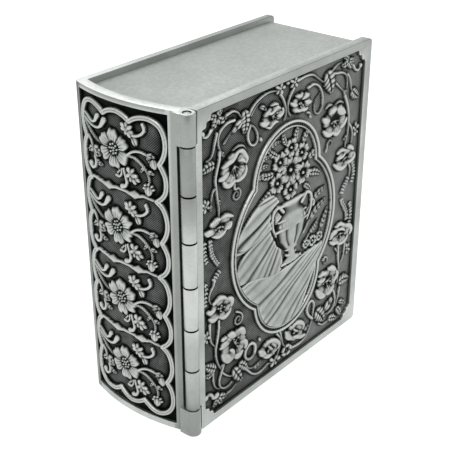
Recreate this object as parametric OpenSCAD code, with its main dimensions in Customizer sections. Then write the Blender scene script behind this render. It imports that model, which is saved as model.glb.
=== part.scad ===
// Keepsake box shaped like a closed book, standing on its lower end.
// The spine is on the left, the front cover faces the viewer and is the lid.
// X runs along the front cover, Y from the front cover to the back cover, Z up.
// Inside the modules x = 0 is the front cover's hinge side and y = 0 its front face;
// book() then moves the origin to the middle of the box's foot.

/* [Book] */
// Height of the box
book_h = 100; // [85:1:130]
// Width of the front cover, from the hinge barrel to the fore edge
cover_w = 80; // [72:1:110]
// Depth over the outer faces of the two covers
book_d = 40.5; // [34:0.5:60]
// Thickness of the front cover
cover_t = 3.2; // [2.9:0.1:4.2]
// Thickness of the back cover
back_t = 2.3; // [1.8:0.1:3.5]
// How far the back cover reaches past the front cover's fore edge
back_reach = 1; // [0.2:0.1:2]
// Radius of the covers' two outer corners
corner_r = 1.2; // [0.6:0.1:2]

/* [Spine] */
// Radius of the spine's outward curve
spine_r = 56; // [48:1:90]
// Thickness of the spine's rim
spine_t = 3.2; // [2.8:0.1:4.5]
// How far the spine's crown stands out past the front cover's hinge side
spine_out = 6.7; // [6.5:0.1:8]
// Width of the bright strip between the hinge and the spine's relief
spine_strip_front = 1.2; // [0.8:0.1:2]
// Width of the bright strip at the back edge of the spine's relief
spine_strip_back = 1.9; // [1:0.1:3]
// Height of the bright strips above and below the spine's relief
spine_strip_end = 2.2; // [1.5:0.1:4]

/* [Page block] */
// How far the page block lies below the covers' ends
page_inset = 1.8; // [0.8:0.1:3]
// How far the page block lies inside the front cover's fore edge
fore_inset = 0.8; // [0.3:0.1:3]
// Thickness of the page block's walls
wall_t = 2; // [1.4:0.1:3]

/* [Hinge] */
// Distance of the hinge axis from the front cover's hinge side
hinge_x = 2.2; // [2:0.1:2.4]
// Distance of the hinge axis behind the front cover's face
hinge_y = 1.2; // [1:0.1:1.3]
// Diameter of the long barrel on the front cover
barrel_d = 4.6; // [4.2:0.1:4.8]
// Diameter of the two end knuckles
knuckle_d = 5.3; // [5:0.1:5.4]
// Height of each end knuckle
knuckle_h = 8.8; // [6:0.1:14]
// Diameter of the hinge pin
pin_d = 2.1; // [1.6:0.1:2.4]
// Depth of each end of the pin below its knuckle's face
pin_recess = 0.5; // [0.2:0.1:1.5]
// Number of lengths that the grooves divide the barrel into
barrel_parts = 6; // [3:1:9]
// Width of a barrel groove
groove_w = 0.5; // [0.3:0.1:0.8]
// Depth of a barrel groove
groove_t = 0.35; // [0.2:0.05:0.5]

/* [Spine relief] */
// Number of lobed panels, one above the other
panels = 4; // [3:1:5]
// Width of the ribs round the panels
rib_w = 1.4; // [0.8:0.1:2]
// Distance of the panels from the sides of the relief
panel_side = 1; // [0.6:0.1:2]
// Distance of the panels from the ends of the relief
panel_end = 1.5; // [1:0.1:4]
// Radius of the flower in each panel
spine_flower_r = 5.4; // [4:0.1:6]

/* [Front relief] */
// Width of the front frame beside the barrel
frame_left = 1.7; // [1.2:0.1:4]
// Width of the front frame along the fore edge
frame_right = 3; // [2:0.1:5]
// Height of the front frame above and below the relief
frame_end = 2.4; // [1.8:0.1:5]
// Depth of the relief's ground below the frame
ground_depth = 1; // [0.7:0.05:1.2]
// Thickness of the relief castings below their ground
plate_t = 0.8; // [0.5:0.05:0.9]
// Width of one step of the frame's stepped corners
step_w = 1.75; // [1:0.05:2.5]
// Rounding of each step
step_r = 0.8; // [0.4:0.05:1]
// Height of the flowers and stems above the ground
relief_h = 0.9; // [0.5:0.05:1]
// Radius of the large flowers near the corners
rose_r = 5.6; // [4:0.1:6]
// Radius of the flowers above and below the medallion
bloom_r = 4.7; // [3.5:0.1:5]
// Radius of the flowers beside the medallion
side_bloom_r = 4.6; // [3.5:0.1:5]
// Width of the stems
stem_w = 0.8; // [0.5:0.1:1.2]

/* [Medallion] */
// Radius of the medallion's broad middle
med_r = 25.5; // [20:0.5:27]
// Radius of the medallion's upper and lower lobes
lobe_r = 15.4; // [12:0.2:18]
// Distance of each lobe's centre from the medallion's centre
lobe_shift = 19.8; // [16:0.2:22]
// Width of the medallion's outer bead
bead_w = 0.9; // [0.6:0.1:1.4]
// Width of the groove between its two beads
bead_gap = 0.4; // [0.2:0.1:0.8]
// Width of its inner bead
bead_in_w = 0.7; // [0.4:0.1:1.2]

/* [Lining] */
// Thickness of the velvet on the walls
wall_pad_t = 1; // [0.6:0.1:2]
// Thickness of the velvet on the back cover and on the front cover
pad_t = 1.4; // [0.8:0.1:3]

/* [Closure] */
// Diameter of the closing magnets and of their steel discs
magnet_d = 4; // [3:0.1:5]
// Thickness of the magnets
magnet_t = 2; // [1:0.1:4]
// Thickness of the steel discs in the front cover
disc_t = 0.8; // [0.5:0.05:0.9]
// Metal around a magnet in its post
post_wall = 1.2; // [0.8:0.1:2]
// Length of a magnet's post
post_l = 9; // [5:0.5:14]

/* [Fits] */
// Gap between the closed front cover and the case
cover_gap = 0.3; // [0.2:0.05:0.5]
// Gap between turning and fixed hinge parts
hinge_gap = 0.3; // [0.2:0.05:0.4]
// Running clearance of the pin in the barrel, on the radius
pin_clear = 0.06; // [0.03:0.01:0.1]
// Clearance of the pin in the end knuckles, on the radius
pin_seat = 0.02; // [0.01:0.005:0.05]
// Clearance around castings and pads set into a seat
seat_gap = 0.1; // [0.05:0.05:0.2]
// Gap between neighbouring pads
pad_gap = 0.3; // [0.2:0.1:0.6]

/* [Hidden] */
$fn = 96;
eps = 0.01;
far = 400;
root = 0.3;              // how far a raised form is rooted in its plate

// Front of the case, behind the closed cover
case_y = cover_t + cover_gap;
// The spine's wall starts behind the barrel
spine_y = hinge_y + barrel_d / 2 + hinge_gap + 0.1;
spine_mid = (spine_y + book_d) / 2;
spine_cx = spine_r - spine_out;
back_y = book_d - back_t;
back_x = cover_w + back_reach;

// Page block and the hollow inside it
page_x = cover_w - fore_inset;
page_lo = page_inset;
page_hi = book_h - page_inset;
hollow_x = page_x - wall_t;
hollow_lo = page_lo + wall_t;
hollow_hi = page_hi - wall_t;

// Pocket that a relief casting sits in
pocket_t = ground_depth + plate_t;
panel_x0 = frame_left;
panel_x1 = cover_w - frame_right;
panel_z0 = frame_end;
panel_z1 = book_h - frame_end;
panel_mid_x = (panel_x0 + panel_x1) / 2;
panel_mid_z = (panel_z0 + panel_z1) / 2;
half_w = (panel_x1 - panel_x0) / 2;
half_h = (panel_z1 - panel_z0) / 2;

// Pocket in the spine
spine_y0 = spine_y + spine_strip_front;
spine_y1 = book_d - spine_strip_back;
spine_z0 = spine_strip_end;
spine_z1 = book_h - spine_strip_end;
ground_r = spine_r - ground_depth;
cart_y0 = spine_y0 + panel_side;
cart_y1 = spine_y1 - panel_side;
cart_base = spine_z0 + panel_end;
cart_pitch = (spine_z1 - spine_z0 - 2 * panel_end) / panels;

// Barrel between the end knuckles
barrel_lo = knuckle_h + hinge_gap;
barrel_hi = book_h - knuckle_h - hinge_gap;
groove_pitch = (barrel_hi - barrel_lo) / barrel_parts;
hinge_edge = -hinge_x + knuckle_d / 2 + hinge_gap;   // cover's edge beside a knuckle

// Magnet posts in the page block's two fore-edge corners
post_d = magnet_d + 2 * post_wall;
post_x = hollow_x - post_d / 2 + post_wall;
post_lo = hollow_lo + post_d / 2 - post_wall;
post_hi = hollow_hi - post_d / 2 + post_wall;

// Bounding box, for the origin
box_x0 = -spine_out;
box_y0 = hinge_y - knuckle_d / 2;
mid_x = (box_x0 + back_x) / 2;
mid_y = (box_y0 + book_d) / 2;

metal = [0.62, 0.64, 0.63];
bright = [0.74, 0.76, 0.75];
dark = [0.27, 0.28, 0.29];
steel = [0.5, 0.5, 0.52];
velvet = [0.32, 0.04, 0.08];

module book() {
    translate([-mid_x, -mid_y, 0]) children();
}

// Local (u, v, w) to the front cover: u along X, v up, w out of the face at depth y
module on_cover(y) {
    translate([0, y, 0]) rotate([90, 0, 0]) children();
}

// A plate standing in XZ from y0, t thick, with its fore-edge corners rounded
module cover_plate(x0, x1, y0, t) {
    translate([0, y0 + t, 0]) rotate([90, 0, 0]) linear_extrude(t) union() {
        translate([x0, 0]) square([x1 - x0 - corner_r, book_h]);
        translate([x0, corner_r]) square([x1 - x0, book_h - 2 * corner_r]);
        for (z = [corner_r, book_h - corner_r]) translate([x1 - corner_r, z]) circle(corner_r);
    }
}

module round_rect(x0, x1, z0, z1, r) {
    translate([x0 + r, z0]) square([x1 - x0 - 2 * r, z1 - z0]);
    translate([x0, z0 + r]) square([x1 - x0, z1 - z0 - 2 * r]);
    for (x = [x0 + r, x1 - r], z = [z0 + r, z1 - r]) translate([x, z]) circle(r);
}

// Outline of the front relief, with two rounded steps at each corner, g inside its pocket
module panel_outline(g) {
    for (k = [0:2])
        round_rect(panel_x0 + k * step_w + g, panel_x1 - k * step_w - g,
                   panel_z0 + (2 - k) * step_w + g, panel_z1 - (2 - k) * step_w - g, step_r);
}

// Outline of the medallion, g inside its outer edge
module medallion_outline(g) {
    translate([panel_mid_x, panel_mid_z]) {
        circle(med_r - g);
        for (s = [-1, 1]) translate([0, s * lobe_shift]) circle(lobe_r - g);
    }
}

// Part of the ring between two radii about the spine's centre, from y0 to y1 and z0 to z1
module spine_ring(r0, r1, y0, y1, z0, z1) {
    translate([0, 0, z0]) linear_extrude(z1 - z0) intersection() {
        translate([spine_cx, spine_mid]) difference() {
            circle(r1, $fn = 360);
            circle(r0, $fn = 360);
        }
        translate([-spine_out - 1, y0]) square([spine_out + 8, y1 - y0]);
    }
}

// Local (u, v, w) on the spine at depth y: u along the curve, v up, w out of the face
module on_spine(y, z, r) {
    translate([spine_cx, spine_mid, z])
        rotate([0, 0, -asin((y - spine_mid) / r)])
            translate([-r, 0, 0]) rotate([90, 0, -90]) children();
}

// A low dome of base radius r and height h
module dome(r, h) {
    ball = (r * r + h * h) / (2 * h);
    intersection() {
        translate([0, 0, h - ball]) sphere(ball);
        translate([0, 0, -root]) cylinder(r = r, h = h + root + eps);
    }
}

// A flower of n domed petals round a domed middle, r in radius
module flower(r, n, h) {
    petal = 0.94 * sin(180 / n) / (1 + sin(180 / n)) * r;
    for (k = [0:n - 1]) rotate([0, 0, 360 / n * (k + 0.25)])
        translate([r - petal, 0, 0]) dome(petal, h);
    dome(0.9 * (r - 2 * petal), h);
}

// A leaf of length l and width w, from its stalk at the origin along u
module leaf(l, w, h) {
    arc = (l * l + w * w) / (4 * w);
    translate([l / 2, 0, -root]) linear_extrude(h + root) intersection() {
        translate([0, arc - w / 2]) circle(arc);
        translate([0, w / 2 - arc]) circle(arc);
    }
}

// A stem along an arc of radius r, from angle a0 to a1
module stem(r, w, a0, a1, h) {
    rotate([0, 0, a0]) translate([0, 0, -root]) rotate_extrude(angle = a1 - a0)
        translate([r - w / 2, 0]) square([w, h + root]);
}

// ---------------------------------------------------------------- case

module knuckle(z0) {
    translate([-hinge_x, hinge_y, z0]) cylinder(d = knuckle_d, h = knuckle_h);
    // web from the boss to the spine's front end
    translate([-hinge_x - knuckle_d / 2, hinge_y, z0])
        cube([knuckle_d, spine_y - hinge_y + root, knuckle_h]);
}

module cover_shell() color(bright) book() difference() {
    union() {
        spine_ring(spine_r - spine_t, spine_r, spine_y, book_d, 0, book_h);
        cover_plate(spine_cx - sqrt(pow(spine_r - spine_t / 2, 2) - pow(back_y - spine_mid, 2)),
                    back_x, back_y, back_t);
        knuckle(0);
        knuckle(book_h - knuckle_h);
    }
    spine_ring(spine_r - pocket_t, spine_r + 2, spine_y0, spine_y1, spine_z0, spine_z1);
    translate([-hinge_x, hinge_y, -eps]) cylinder(r = pin_d / 2 + pin_seat, h = book_h + 2 * eps);
}

module page_outline() {
    intersection() {
        translate([spine_cx, spine_mid]) circle(spine_r - spine_t - seat_gap, $fn = 360);
        translate([-spine_out, case_y]) square([page_x + spine_out, back_y - case_y]);
    }
}

module page_block() color(metal) book() difference() {
    union() {
        difference() {
            translate([0, 0, page_lo]) linear_extrude(page_hi - page_lo) page_outline();
            translate([-far, 0, hollow_lo]) cube([far + hollow_x, far, hollow_hi - hollow_lo]);
        }
        for (z = [post_lo, post_hi])
            translate([post_x, case_y + post_l, z]) rotate([90, 0, 0]) cylinder(d = post_d, h = post_l);
    }
    for (z = [post_lo, post_hi])
        translate([post_x, case_y + magnet_t + seat_gap, z]) rotate([90, 0, 0])
            cylinder(r = magnet_d / 2 + seat_gap / 2, h = far);
}

module closing_magnets() color(steel) book()
    for (z = [post_lo, post_hi])
        translate([post_x, case_y + magnet_t + seat_gap / 2, z]) rotate([90, 0, 0])
            cylinder(d = magnet_d, h = magnet_t);

module hinge_pin() color(steel) book()
    translate([-hinge_x, hinge_y, pin_recess]) cylinder(d = pin_d, h = book_h - 2 * pin_recess);

// ---------------------------------------------------------------- spine relief

// Outline of one panel, g inside: three lobes above and below, two at each side
module cart_outline(g) {
    w = cart_y1 - cart_y0;
    lobe = w / 6 * 1.12;
    side = cart_pitch / 4 * 1.14;
    for (k = [0:2]) translate([cart_y0 + w / 6 * (2 * k + 1), cart_pitch - w / 6]) circle(lobe - g);
    for (k = [0:2]) translate([cart_y0 + w / 6 * (2 * k + 1), w / 6]) circle(lobe - g);
    for (k = [0, 1], y = [cart_y0 + side, cart_y1 - side])
        translate([y, cart_pitch / 4 * (2 * k + 1)]) circle(side - g);
    translate([cart_y0 + w / 8, w / 8]) square([w * 3 / 4, cart_pitch - w / 4]);
}

module cart_ribs() {
    for (k = [0:panels - 1]) translate([0, cart_base + k * cart_pitch]) difference() {
        cart_outline(0);
        cart_outline(rib_w);
    }
}

module spine_ground() {
    spine_ring(spine_r - pocket_t + seat_gap, spine_r - ground_depth,
               spine_y0 + seat_gap, spine_y1 - seat_gap, spine_z0 + seat_gap, spine_z1 - seat_gap);
}

// A leaf standing on the spine at (y, z), turned by a degrees
module spine_leaf(y, z, a, l, w)
    on_spine(y, z, ground_r) rotate([0, 0, a]) leaf(l, w, relief_h * 0.7);

module spine_relief() color(dark) book() {
    spine_ground();
    intersection() {
        spine_ring(ground_r - root, ground_r + relief_h, cart_y0, cart_y1,
                   cart_base - 1, cart_base + panels * cart_pitch + 1);
        // the outline in (y, z), pushed along X
        rotate([90, 0, 90]) translate([0, 0, -spine_out - 1]) linear_extrude(spine_out + 8)
            cart_ribs();
    }
    for (k = [0:panels - 1]) {
        z = cart_base + (k + 0.5) * cart_pitch;
        on_spine(spine_mid, z + 0.6, ground_r) flower(spine_flower_r, 6, relief_h);
        spine_leaf(spine_mid - 6, z - 5, -50, 6, 2.4);
        spine_leaf(spine_mid + 6, z + 5.5, 130, 6, 2.4);
        spine_leaf(spine_mid - 8.5, z + 3, 35, 5, 2.2);
        spine_leaf(spine_mid + 7, z - 4, 215, 5, 2.2);
    }
}

// ---------------------------------------------------------------- lining

module floor_pad() color(velvet) book()
    translate([0, back_y - seat_gap, 0]) rotate([90, 0, 0]) linear_extrude(pad_t) intersection() {
        round_rect(wall_pad_t + pad_gap, hollow_x - seat_gap - wall_pad_t - pad_gap,
                   hollow_lo + seat_gap + wall_pad_t + pad_gap,
                   hollow_hi - seat_gap - wall_pad_t - pad_gap, 1);
    }

// Depth span that the four wall pads share
pad_y0 = case_y + pad_t + 2 * pad_gap;
pad_y1 = back_y - seat_gap;

// Right end of the pads on the upper and lower walls, left of the magnet posts
pad_x1 = post_x - post_d / 2 - pad_gap;

module end_pad(z)
    translate([wall_pad_t + pad_gap, pad_y0, z])
        cube([pad_x1 - wall_pad_t - pad_gap, pad_y1 - pad_y0, wall_pad_t]);

module top_pad() color(velvet) book() end_pad(hollow_hi - seat_gap - wall_pad_t);

module bottom_pad() color(velvet) book() end_pad(hollow_lo + seat_gap);

module fore_edge_pad() color(velvet) book()
    translate([hollow_x - seat_gap - wall_pad_t, pad_y0, post_lo + post_d / 2 + pad_gap])
        cube([wall_pad_t, pad_y1 - pad_y0, post_hi - post_lo - post_d - 2 * pad_gap]);

module spine_pad() color(velvet) book()
    spine_ring(spine_r - spine_t - seat_gap - wall_pad_t, spine_r - spine_t - seat_gap,
               pad_y0, pad_y1 - pad_t, hollow_lo + seat_gap, hollow_hi - seat_gap);

// ---------------------------------------------------------------- front cover

module barrel_grooves() {
    for (k = [1:barrel_parts - 1])
        translate([-hinge_x, hinge_y, barrel_lo + k * groove_pitch - groove_w / 2]) difference() {
            cylinder(d = barrel_d + 2, h = groove_w);
            translate([0, 0, -eps]) cylinder(d = barrel_d - 2 * groove_t, h = groove_w + 2 * eps);
            // the grooves only mark the round front of the barrel
            translate([0, -hinge_y, -eps]) cube([far, far, groove_w + 2 * eps]);
        }
}

module front_cover() color(bright) book() difference() {
    union() {
        cover_plate(-hinge_x, cover_w, 0, cover_t);
        translate([-hinge_x, hinge_y, 0]) cylinder(d = barrel_d, h = book_h);
    }
    // room for the end knuckles
    for (z = [-eps, barrel_hi])
        translate([-hinge_x - far, -far / 2, z])
            cube([far + hinge_x + hinge_edge, far, barrel_lo + eps]);
    barrel_grooves();
    translate([-hinge_x, hinge_y, 0]) cylinder(r = pin_d / 2 + pin_clear, h = book_h);
    on_cover(pocket_t) linear_extrude(far) panel_outline(0);
    for (z = [post_lo, post_hi])
        translate([post_x, cover_t - disc_t - seat_gap, z]) rotate([-90, 0, 0])
            cylinder(r = magnet_d / 2 + seat_gap / 2, h = far);
}

module steel_discs() color(steel) book()
    for (z = [post_lo, post_hi])
        translate([post_x, cover_t - disc_t - seat_gap / 2, z]) rotate([-90, 0, 0])
            cylinder(d = magnet_d, h = disc_t);

module lid_pad() color(velvet) book()
    translate([0, cover_t + seat_gap + pad_t, 0]) rotate([90, 0, 0]) linear_extrude(pad_t)
        round_rect(wall_pad_t + 2 * pad_gap + 1, pad_x1,
                   hollow_lo + wall_pad_t + 2 * pad_gap, hollow_hi - wall_pad_t - 2 * pad_gap, 1);

// Border of one quarter of the front relief, about the panel's centre. What lies near
// the corner is measured from it, what lies beside the medallion from the centre lines.
module quarter() {
    translate([half_w - 13.8, half_h - 18.8, 0]) flower(rose_r, 5, relief_h);
    translate([6.7, half_h - 8.4, 0]) flower(bloom_r, 5, relief_h);
    translate([half_w - 7.3, 13.6, 0]) flower(side_bloom_r, 5, relief_h);
    translate([half_w, half_h, 0]) {
        // leaves in the corner, beside the upper bloom and beside the rose
        translate([-9.1, -4.4, 0]) rotate([0, 0, 20]) leaf(6.2, 3.2, relief_h * 0.8);
        translate([-19.6, -9, 0]) rotate([0, 0, 60]) leaf(6, 3.2, relief_h * 0.8);
        translate([-4.4, -11.4, 0]) rotate([0, 0, -100]) leaf(5.4, 2.6, relief_h * 0.8);
        // stems over to the upper bloom, round the corner and down the side
        translate([-22.6, -12.2, 0]) stem(8.2, stem_w, 40, 125, relief_h * 0.7);
        translate([-13.6, -12.1, 0]) stem(7.6, stem_w, 5, 75, relief_h * 0.7);
        translate([-20.1, -24.8, 0]) stem(15.2, stem_w, -28, 22, relief_h * 0.7);
        // curled tendril below the rose
        translate([-15.6, -26.9, 0]) stem(1.5, stem_w * 0.6, -60, 200, relief_h * 0.6);
    }
}

module cover_relief() color(dark) book() on_cover(ground_depth) difference() {
    union() {
        translate([0, 0, -plate_t + seat_gap]) linear_extrude(plate_t - seat_gap) panel_outline(seat_gap);
        for (a = [0, 1], b = [0, 1])
            translate([panel_mid_x, panel_mid_z, 0]) mirror([a, 0, 0]) mirror([0, b, 0]) quarter();
    }
    translate([0, 0, -plate_t]) linear_extrude(far) medallion_outline(-seat_gap);
}

// Medallion: beaded rim round a vase of flowers over a pleated swag
med_floor = plate_t - seat_gap;

module vase() {
    translate([0, -14, 0]) dome(6.5, relief_h);
    translate([-5.2, -8.2, -root]) cube([10.4, 1.6, relief_h + root]);
}

module bouquet() {
    for (p = [[0, 14, 6.4], [-9, 4.5, 5.4], [9, 4.5, 5.4], [0, 0.5, 3.4]])
        translate([p[0], p[1], 0]) flower(p[2], 5, relief_h);
    for (s = [-1, 1]) {
        translate([s * 6.5, 19, 0]) rotate([0, 0, 90 - s * 38]) leaf(8, 3, relief_h * 0.7);
        translate([s * 13, 12, 0]) rotate([0, 0, 90 - s * 55]) leaf(7.5, 3, relief_h * 0.7);
        translate([s * 9, -3.5, 0]) rotate([0, 0, 90 - s * 110]) leaf(9, 3.2, relief_h * 0.7);
    }
}

// Pleats of the drapery under the vase, spread like a fan
module swag() {
    for (k = [-3:3]) translate([0, -14, 0]) rotate([0, 0, -90 + k * 17])
        translate([7.6, 0, 0]) leaf(9.5, 2.2, relief_h * 0.6);
}

module medallion() color(dark) book() on_cover(ground_depth) {
    translate([0, 0, -med_floor]) linear_extrude(med_floor) medallion_outline(0);
    translate([0, 0, -root]) linear_extrude(ground_depth + root) difference() {
        medallion_outline(0);
        medallion_outline(bead_w);
    }
    translate([0, 0, -root]) linear_extrude(relief_h + root) difference() {
        medallion_outline(bead_w + bead_gap);
        medallion_outline(bead_w + bead_gap + bead_in_w);
    }
    translate([panel_mid_x, panel_mid_z, 0]) {
        vase();
        bouquet();
        swag();
    }
}

cover_shell();
page_block();
spine_relief();
hinge_pin();
floor_pad();
top_pad();
bottom_pad();
spine_pad();
fore_edge_pad();
closing_magnets();
front_cover();
cover_relief();
medallion();
lid_pad();
steel_discs();
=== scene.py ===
import math

import bmesh
import bpy
import numpy as np
from mathutils import Matrix, Vector


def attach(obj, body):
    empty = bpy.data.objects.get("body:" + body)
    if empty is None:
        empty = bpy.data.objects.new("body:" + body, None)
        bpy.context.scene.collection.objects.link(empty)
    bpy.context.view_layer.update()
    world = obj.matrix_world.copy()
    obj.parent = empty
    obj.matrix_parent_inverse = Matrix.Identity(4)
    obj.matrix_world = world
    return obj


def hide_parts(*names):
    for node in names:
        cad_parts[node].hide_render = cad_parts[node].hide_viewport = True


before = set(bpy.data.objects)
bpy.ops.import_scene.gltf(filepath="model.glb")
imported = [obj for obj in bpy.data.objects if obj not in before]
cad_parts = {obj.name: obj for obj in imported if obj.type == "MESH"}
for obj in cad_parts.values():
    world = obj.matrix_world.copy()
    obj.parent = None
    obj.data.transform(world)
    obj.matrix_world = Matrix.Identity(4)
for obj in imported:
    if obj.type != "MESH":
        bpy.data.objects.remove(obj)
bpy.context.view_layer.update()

MM = 0.001
# the book frame: x = 0 at the cover's hinge side, y = 0 at the cover's front face, z = 0 at the foot
BOOK = np.array((-37.15, -19.525, 0.0))

# ---------------------------------------------------------------- sizes, in millimetres

BOOK_H = 100.0
BOOK_D = 40.5
COVER_W = 80.0
COVER_T = 3.2
COVER_CORNER = 1.2
BACK_X = 81.0
BACK_Y = 38.2
SPINE_R = 56.0
SPINE_T = 3.2
SPINE_CX = 49.3
SPINE_CY = 22.2
SPINE_Y = 3.72
HINGE_X = -2.2
HINGE_Y = 1.2
BARREL_R = 2.06
BARREL_LO = 9.1
BARREL_HI = 90.9
BORE_R = 1.12
PIN_R = 0.94
KNUCKLE_R = 2.3
KNUCKLE_H = 8.8
# depth of the reliefs' ground below the covers' face, and thickness of their plates below it
GROUND = 1.0
PLATE_T = 0.75
PAGE_LO = 1.8
PAGE_HI = 98.2
PAGE_X = 79.2
HOLLOW_X = 77.2
HOLLOW_LO = 3.8
HOLLOW_HI = 96.2
CASE_Y = 3.5
# the spine's sunk panel, across in y and up in z
POCKET_Y = (6.0, 38.4)
POCKET_Z = (1.95, 98.6)


def place_all(x, y, z):
    """Arrays of book-frame coordinates as rows of scene points, in metres."""
    return (np.stack(np.broadcast_arrays(x, y, z), -1) + BOOK).reshape(-1, 3) * MM


def place(*point):
    """One point of the book frame in the scene's metres."""
    return tuple((c + o) * MM for c, o in zip(point, BOOK.tolist()))


def book_points(obj):
    """An object's points in the book frame."""
    return [(v.co.x / MM - BOOK[0], v.co.y / MM - BOOK[1], v.co.z / MM) for v in obj.data.vertices]


# ---------------------------------------------------------------- meshes

def link(mesh, name):
    obj = bpy.data.objects.new(name, mesh)
    bpy.context.scene.collection.objects.link(obj)
    return obj


def make(name, points, faces, smooth_angle=35):
    """An object from points and faces, shaded smooth up to an angle."""
    mesh = bpy.data.meshes.new(name)
    mesh.from_pydata([tuple(p) for p in points], [], [tuple(f) for f in faces])
    mesh.update()
    return soften(link(mesh, name), smooth_angle)


def soften(obj, angle):
    """Smooth shading with hard edges beyond an angle."""
    mesh = obj.data
    mesh.polygons.foreach_set("use_smooth", [True] * len(mesh.polygons))
    work = bmesh.new()
    work.from_mesh(mesh)
    bmesh.ops.recalc_face_normals(work, faces=work.faces)
    for edge in work.edges:
        edge.smooth = len(edge.link_faces) == 2 and edge.calc_face_angle(0) < math.radians(angle)
    work.to_mesh(mesh)
    work.free()
    return obj


def prism(name, outline, low, high, axis="y"):
    """An outline pushed along an axis. Its points are (x, z) for axis y and (x, y) for axis z."""
    n = len(outline)
    order = (0, 2, 1) if axis == "y" else (0, 1, 2)
    points = [place(*[(u, v, w)[k] for k in order]) for w in (low, high) for u, v in outline]
    sides = [(i, i + n, (i + 1) % n + n, (i + 1) % n) for i in range(n)]
    return make(name, points, [range(n), range(2 * n - 1, n - 1, -1), *sides])


def lathe(name, profile, cx=HINGE_X, cy=HINGE_Y, steps=96, smooth_angle=35):
    """A profile of (radius, z) turned round the vertical axis through (cx, cy)."""
    points = []
    faces = []
    n = len(profile)
    for k in range(steps):
        a = 2 * math.pi * k / steps
        m = (k + 1) % steps
        points += [place(cx + r * math.cos(a), cy + r * math.sin(a), z) for r, z in profile]
        faces += [(k * n + i, m * n + i, m * n + (i + 1) % n, k * n + (i + 1) % n) for i in range(n)]
    return make(name, points, faces, smooth_angle)


def modify(obj, kind, **settings):
    """Puts a modifier on an object and bakes it into the mesh."""
    mod = obj.modifiers.new(kind, kind)
    for key, value in settings.items():
        setattr(mod, key, value)
    bpy.context.view_layer.update()
    mesh = bpy.data.meshes.new_from_object(obj.evaluated_get(bpy.context.evaluated_depsgraph_get()))
    obj.modifiers.clear()
    old = obj.data
    obj.data = mesh
    bpy.data.meshes.remove(old)
    return obj


def boolean(obj, other, operation="DIFFERENCE"):
    """Cuts another object out of this one, or joins it on, and removes the other."""
    modify(obj, "BOOLEAN", operation=operation, solver="EXACT", object=other)
    mesh = other.data
    bpy.data.objects.remove(other)
    bpy.data.meshes.remove(mesh)
    return obj


def weld(obj, size=0.004, flat_angle=0.6):
    """Merges points that lie closer than size and flattens needless edges."""
    work = bmesh.new()
    work.from_mesh(obj.data)
    bmesh.ops.remove_doubles(work, verts=work.verts, dist=size * MM)
    bmesh.ops.dissolve_limit(work, angle_limit=math.radians(flat_angle), verts=work.verts, edges=work.edges)
    work.to_mesh(obj.data)
    work.free()


def bevel(obj, width, segments=3, angle=32):
    """Rounds an object's sharp edges."""
    modify(obj, "BEVEL", width=width * MM, segments=segments, limit_method="ANGLE",
           angle_limit=math.radians(angle), use_clamp_overlap=True, harden_normals=False)
    soften(obj, 40)


def arc(cx, cy, r, a0, a1, steps):
    """Points on a circle from angle a0 to a1, in degrees."""
    turns = [math.radians(a0 + (a1 - a0) * k / steps) for k in range(steps + 1)]
    return [(cx + r * math.cos(a), cy + r * math.sin(a)) for a in turns]


def spine_arc(r, y0, y1, steps):
    """The spine's curve seen from above, at a radius and between two values of y."""
    a0, a1 = (math.degrees(math.asin((y - SPINE_CY) / r)) for y in (y0, y1))
    return arc(SPINE_CX, SPINE_CY, r, 180 - a0, 180 - a1, steps)


def point_attribute(obj, values, name="wear_and_painted_light"):
    """Writes a value for each point, which the metal's material reads."""
    field = obj.data.attributes.new(name, "FLOAT", "POINT")
    field.data.foreach_set("value", np.array(values, dtype=float))


# a plain part's faces over this area, in square metres, aren't rounded edges
WIDE_FACE = 4e-6


def frame_wear_and_painted_light(obj, plain, up=0.22, dark=None):
    """Wear and painted light of a plain part: rounded edges are brighter than the rest, and upward faces are
    painted brighter by up, as light from above would make them.

    Dark(x, y, z) gives how much painted shade darkens a point in the book frame, or 0.
    """
    values = np.full(len(obj.data.vertices), plain + 0.2)
    wide = [face for face in obj.data.polygons if face.area > WIDE_FACE]
    for face in wide:
        values[face.vertices] = plain
    # painted light: upward faces are lighter, as if lit from above
    for face in wide:
        if face.normal.z > 0.9:
            values[face.vertices] = plain + up
    if dark:
        values -= [dark(*point) for point in book_points(obj)]
    point_attribute(obj, values)


# ---------------------------------------------------------------- relief

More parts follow.
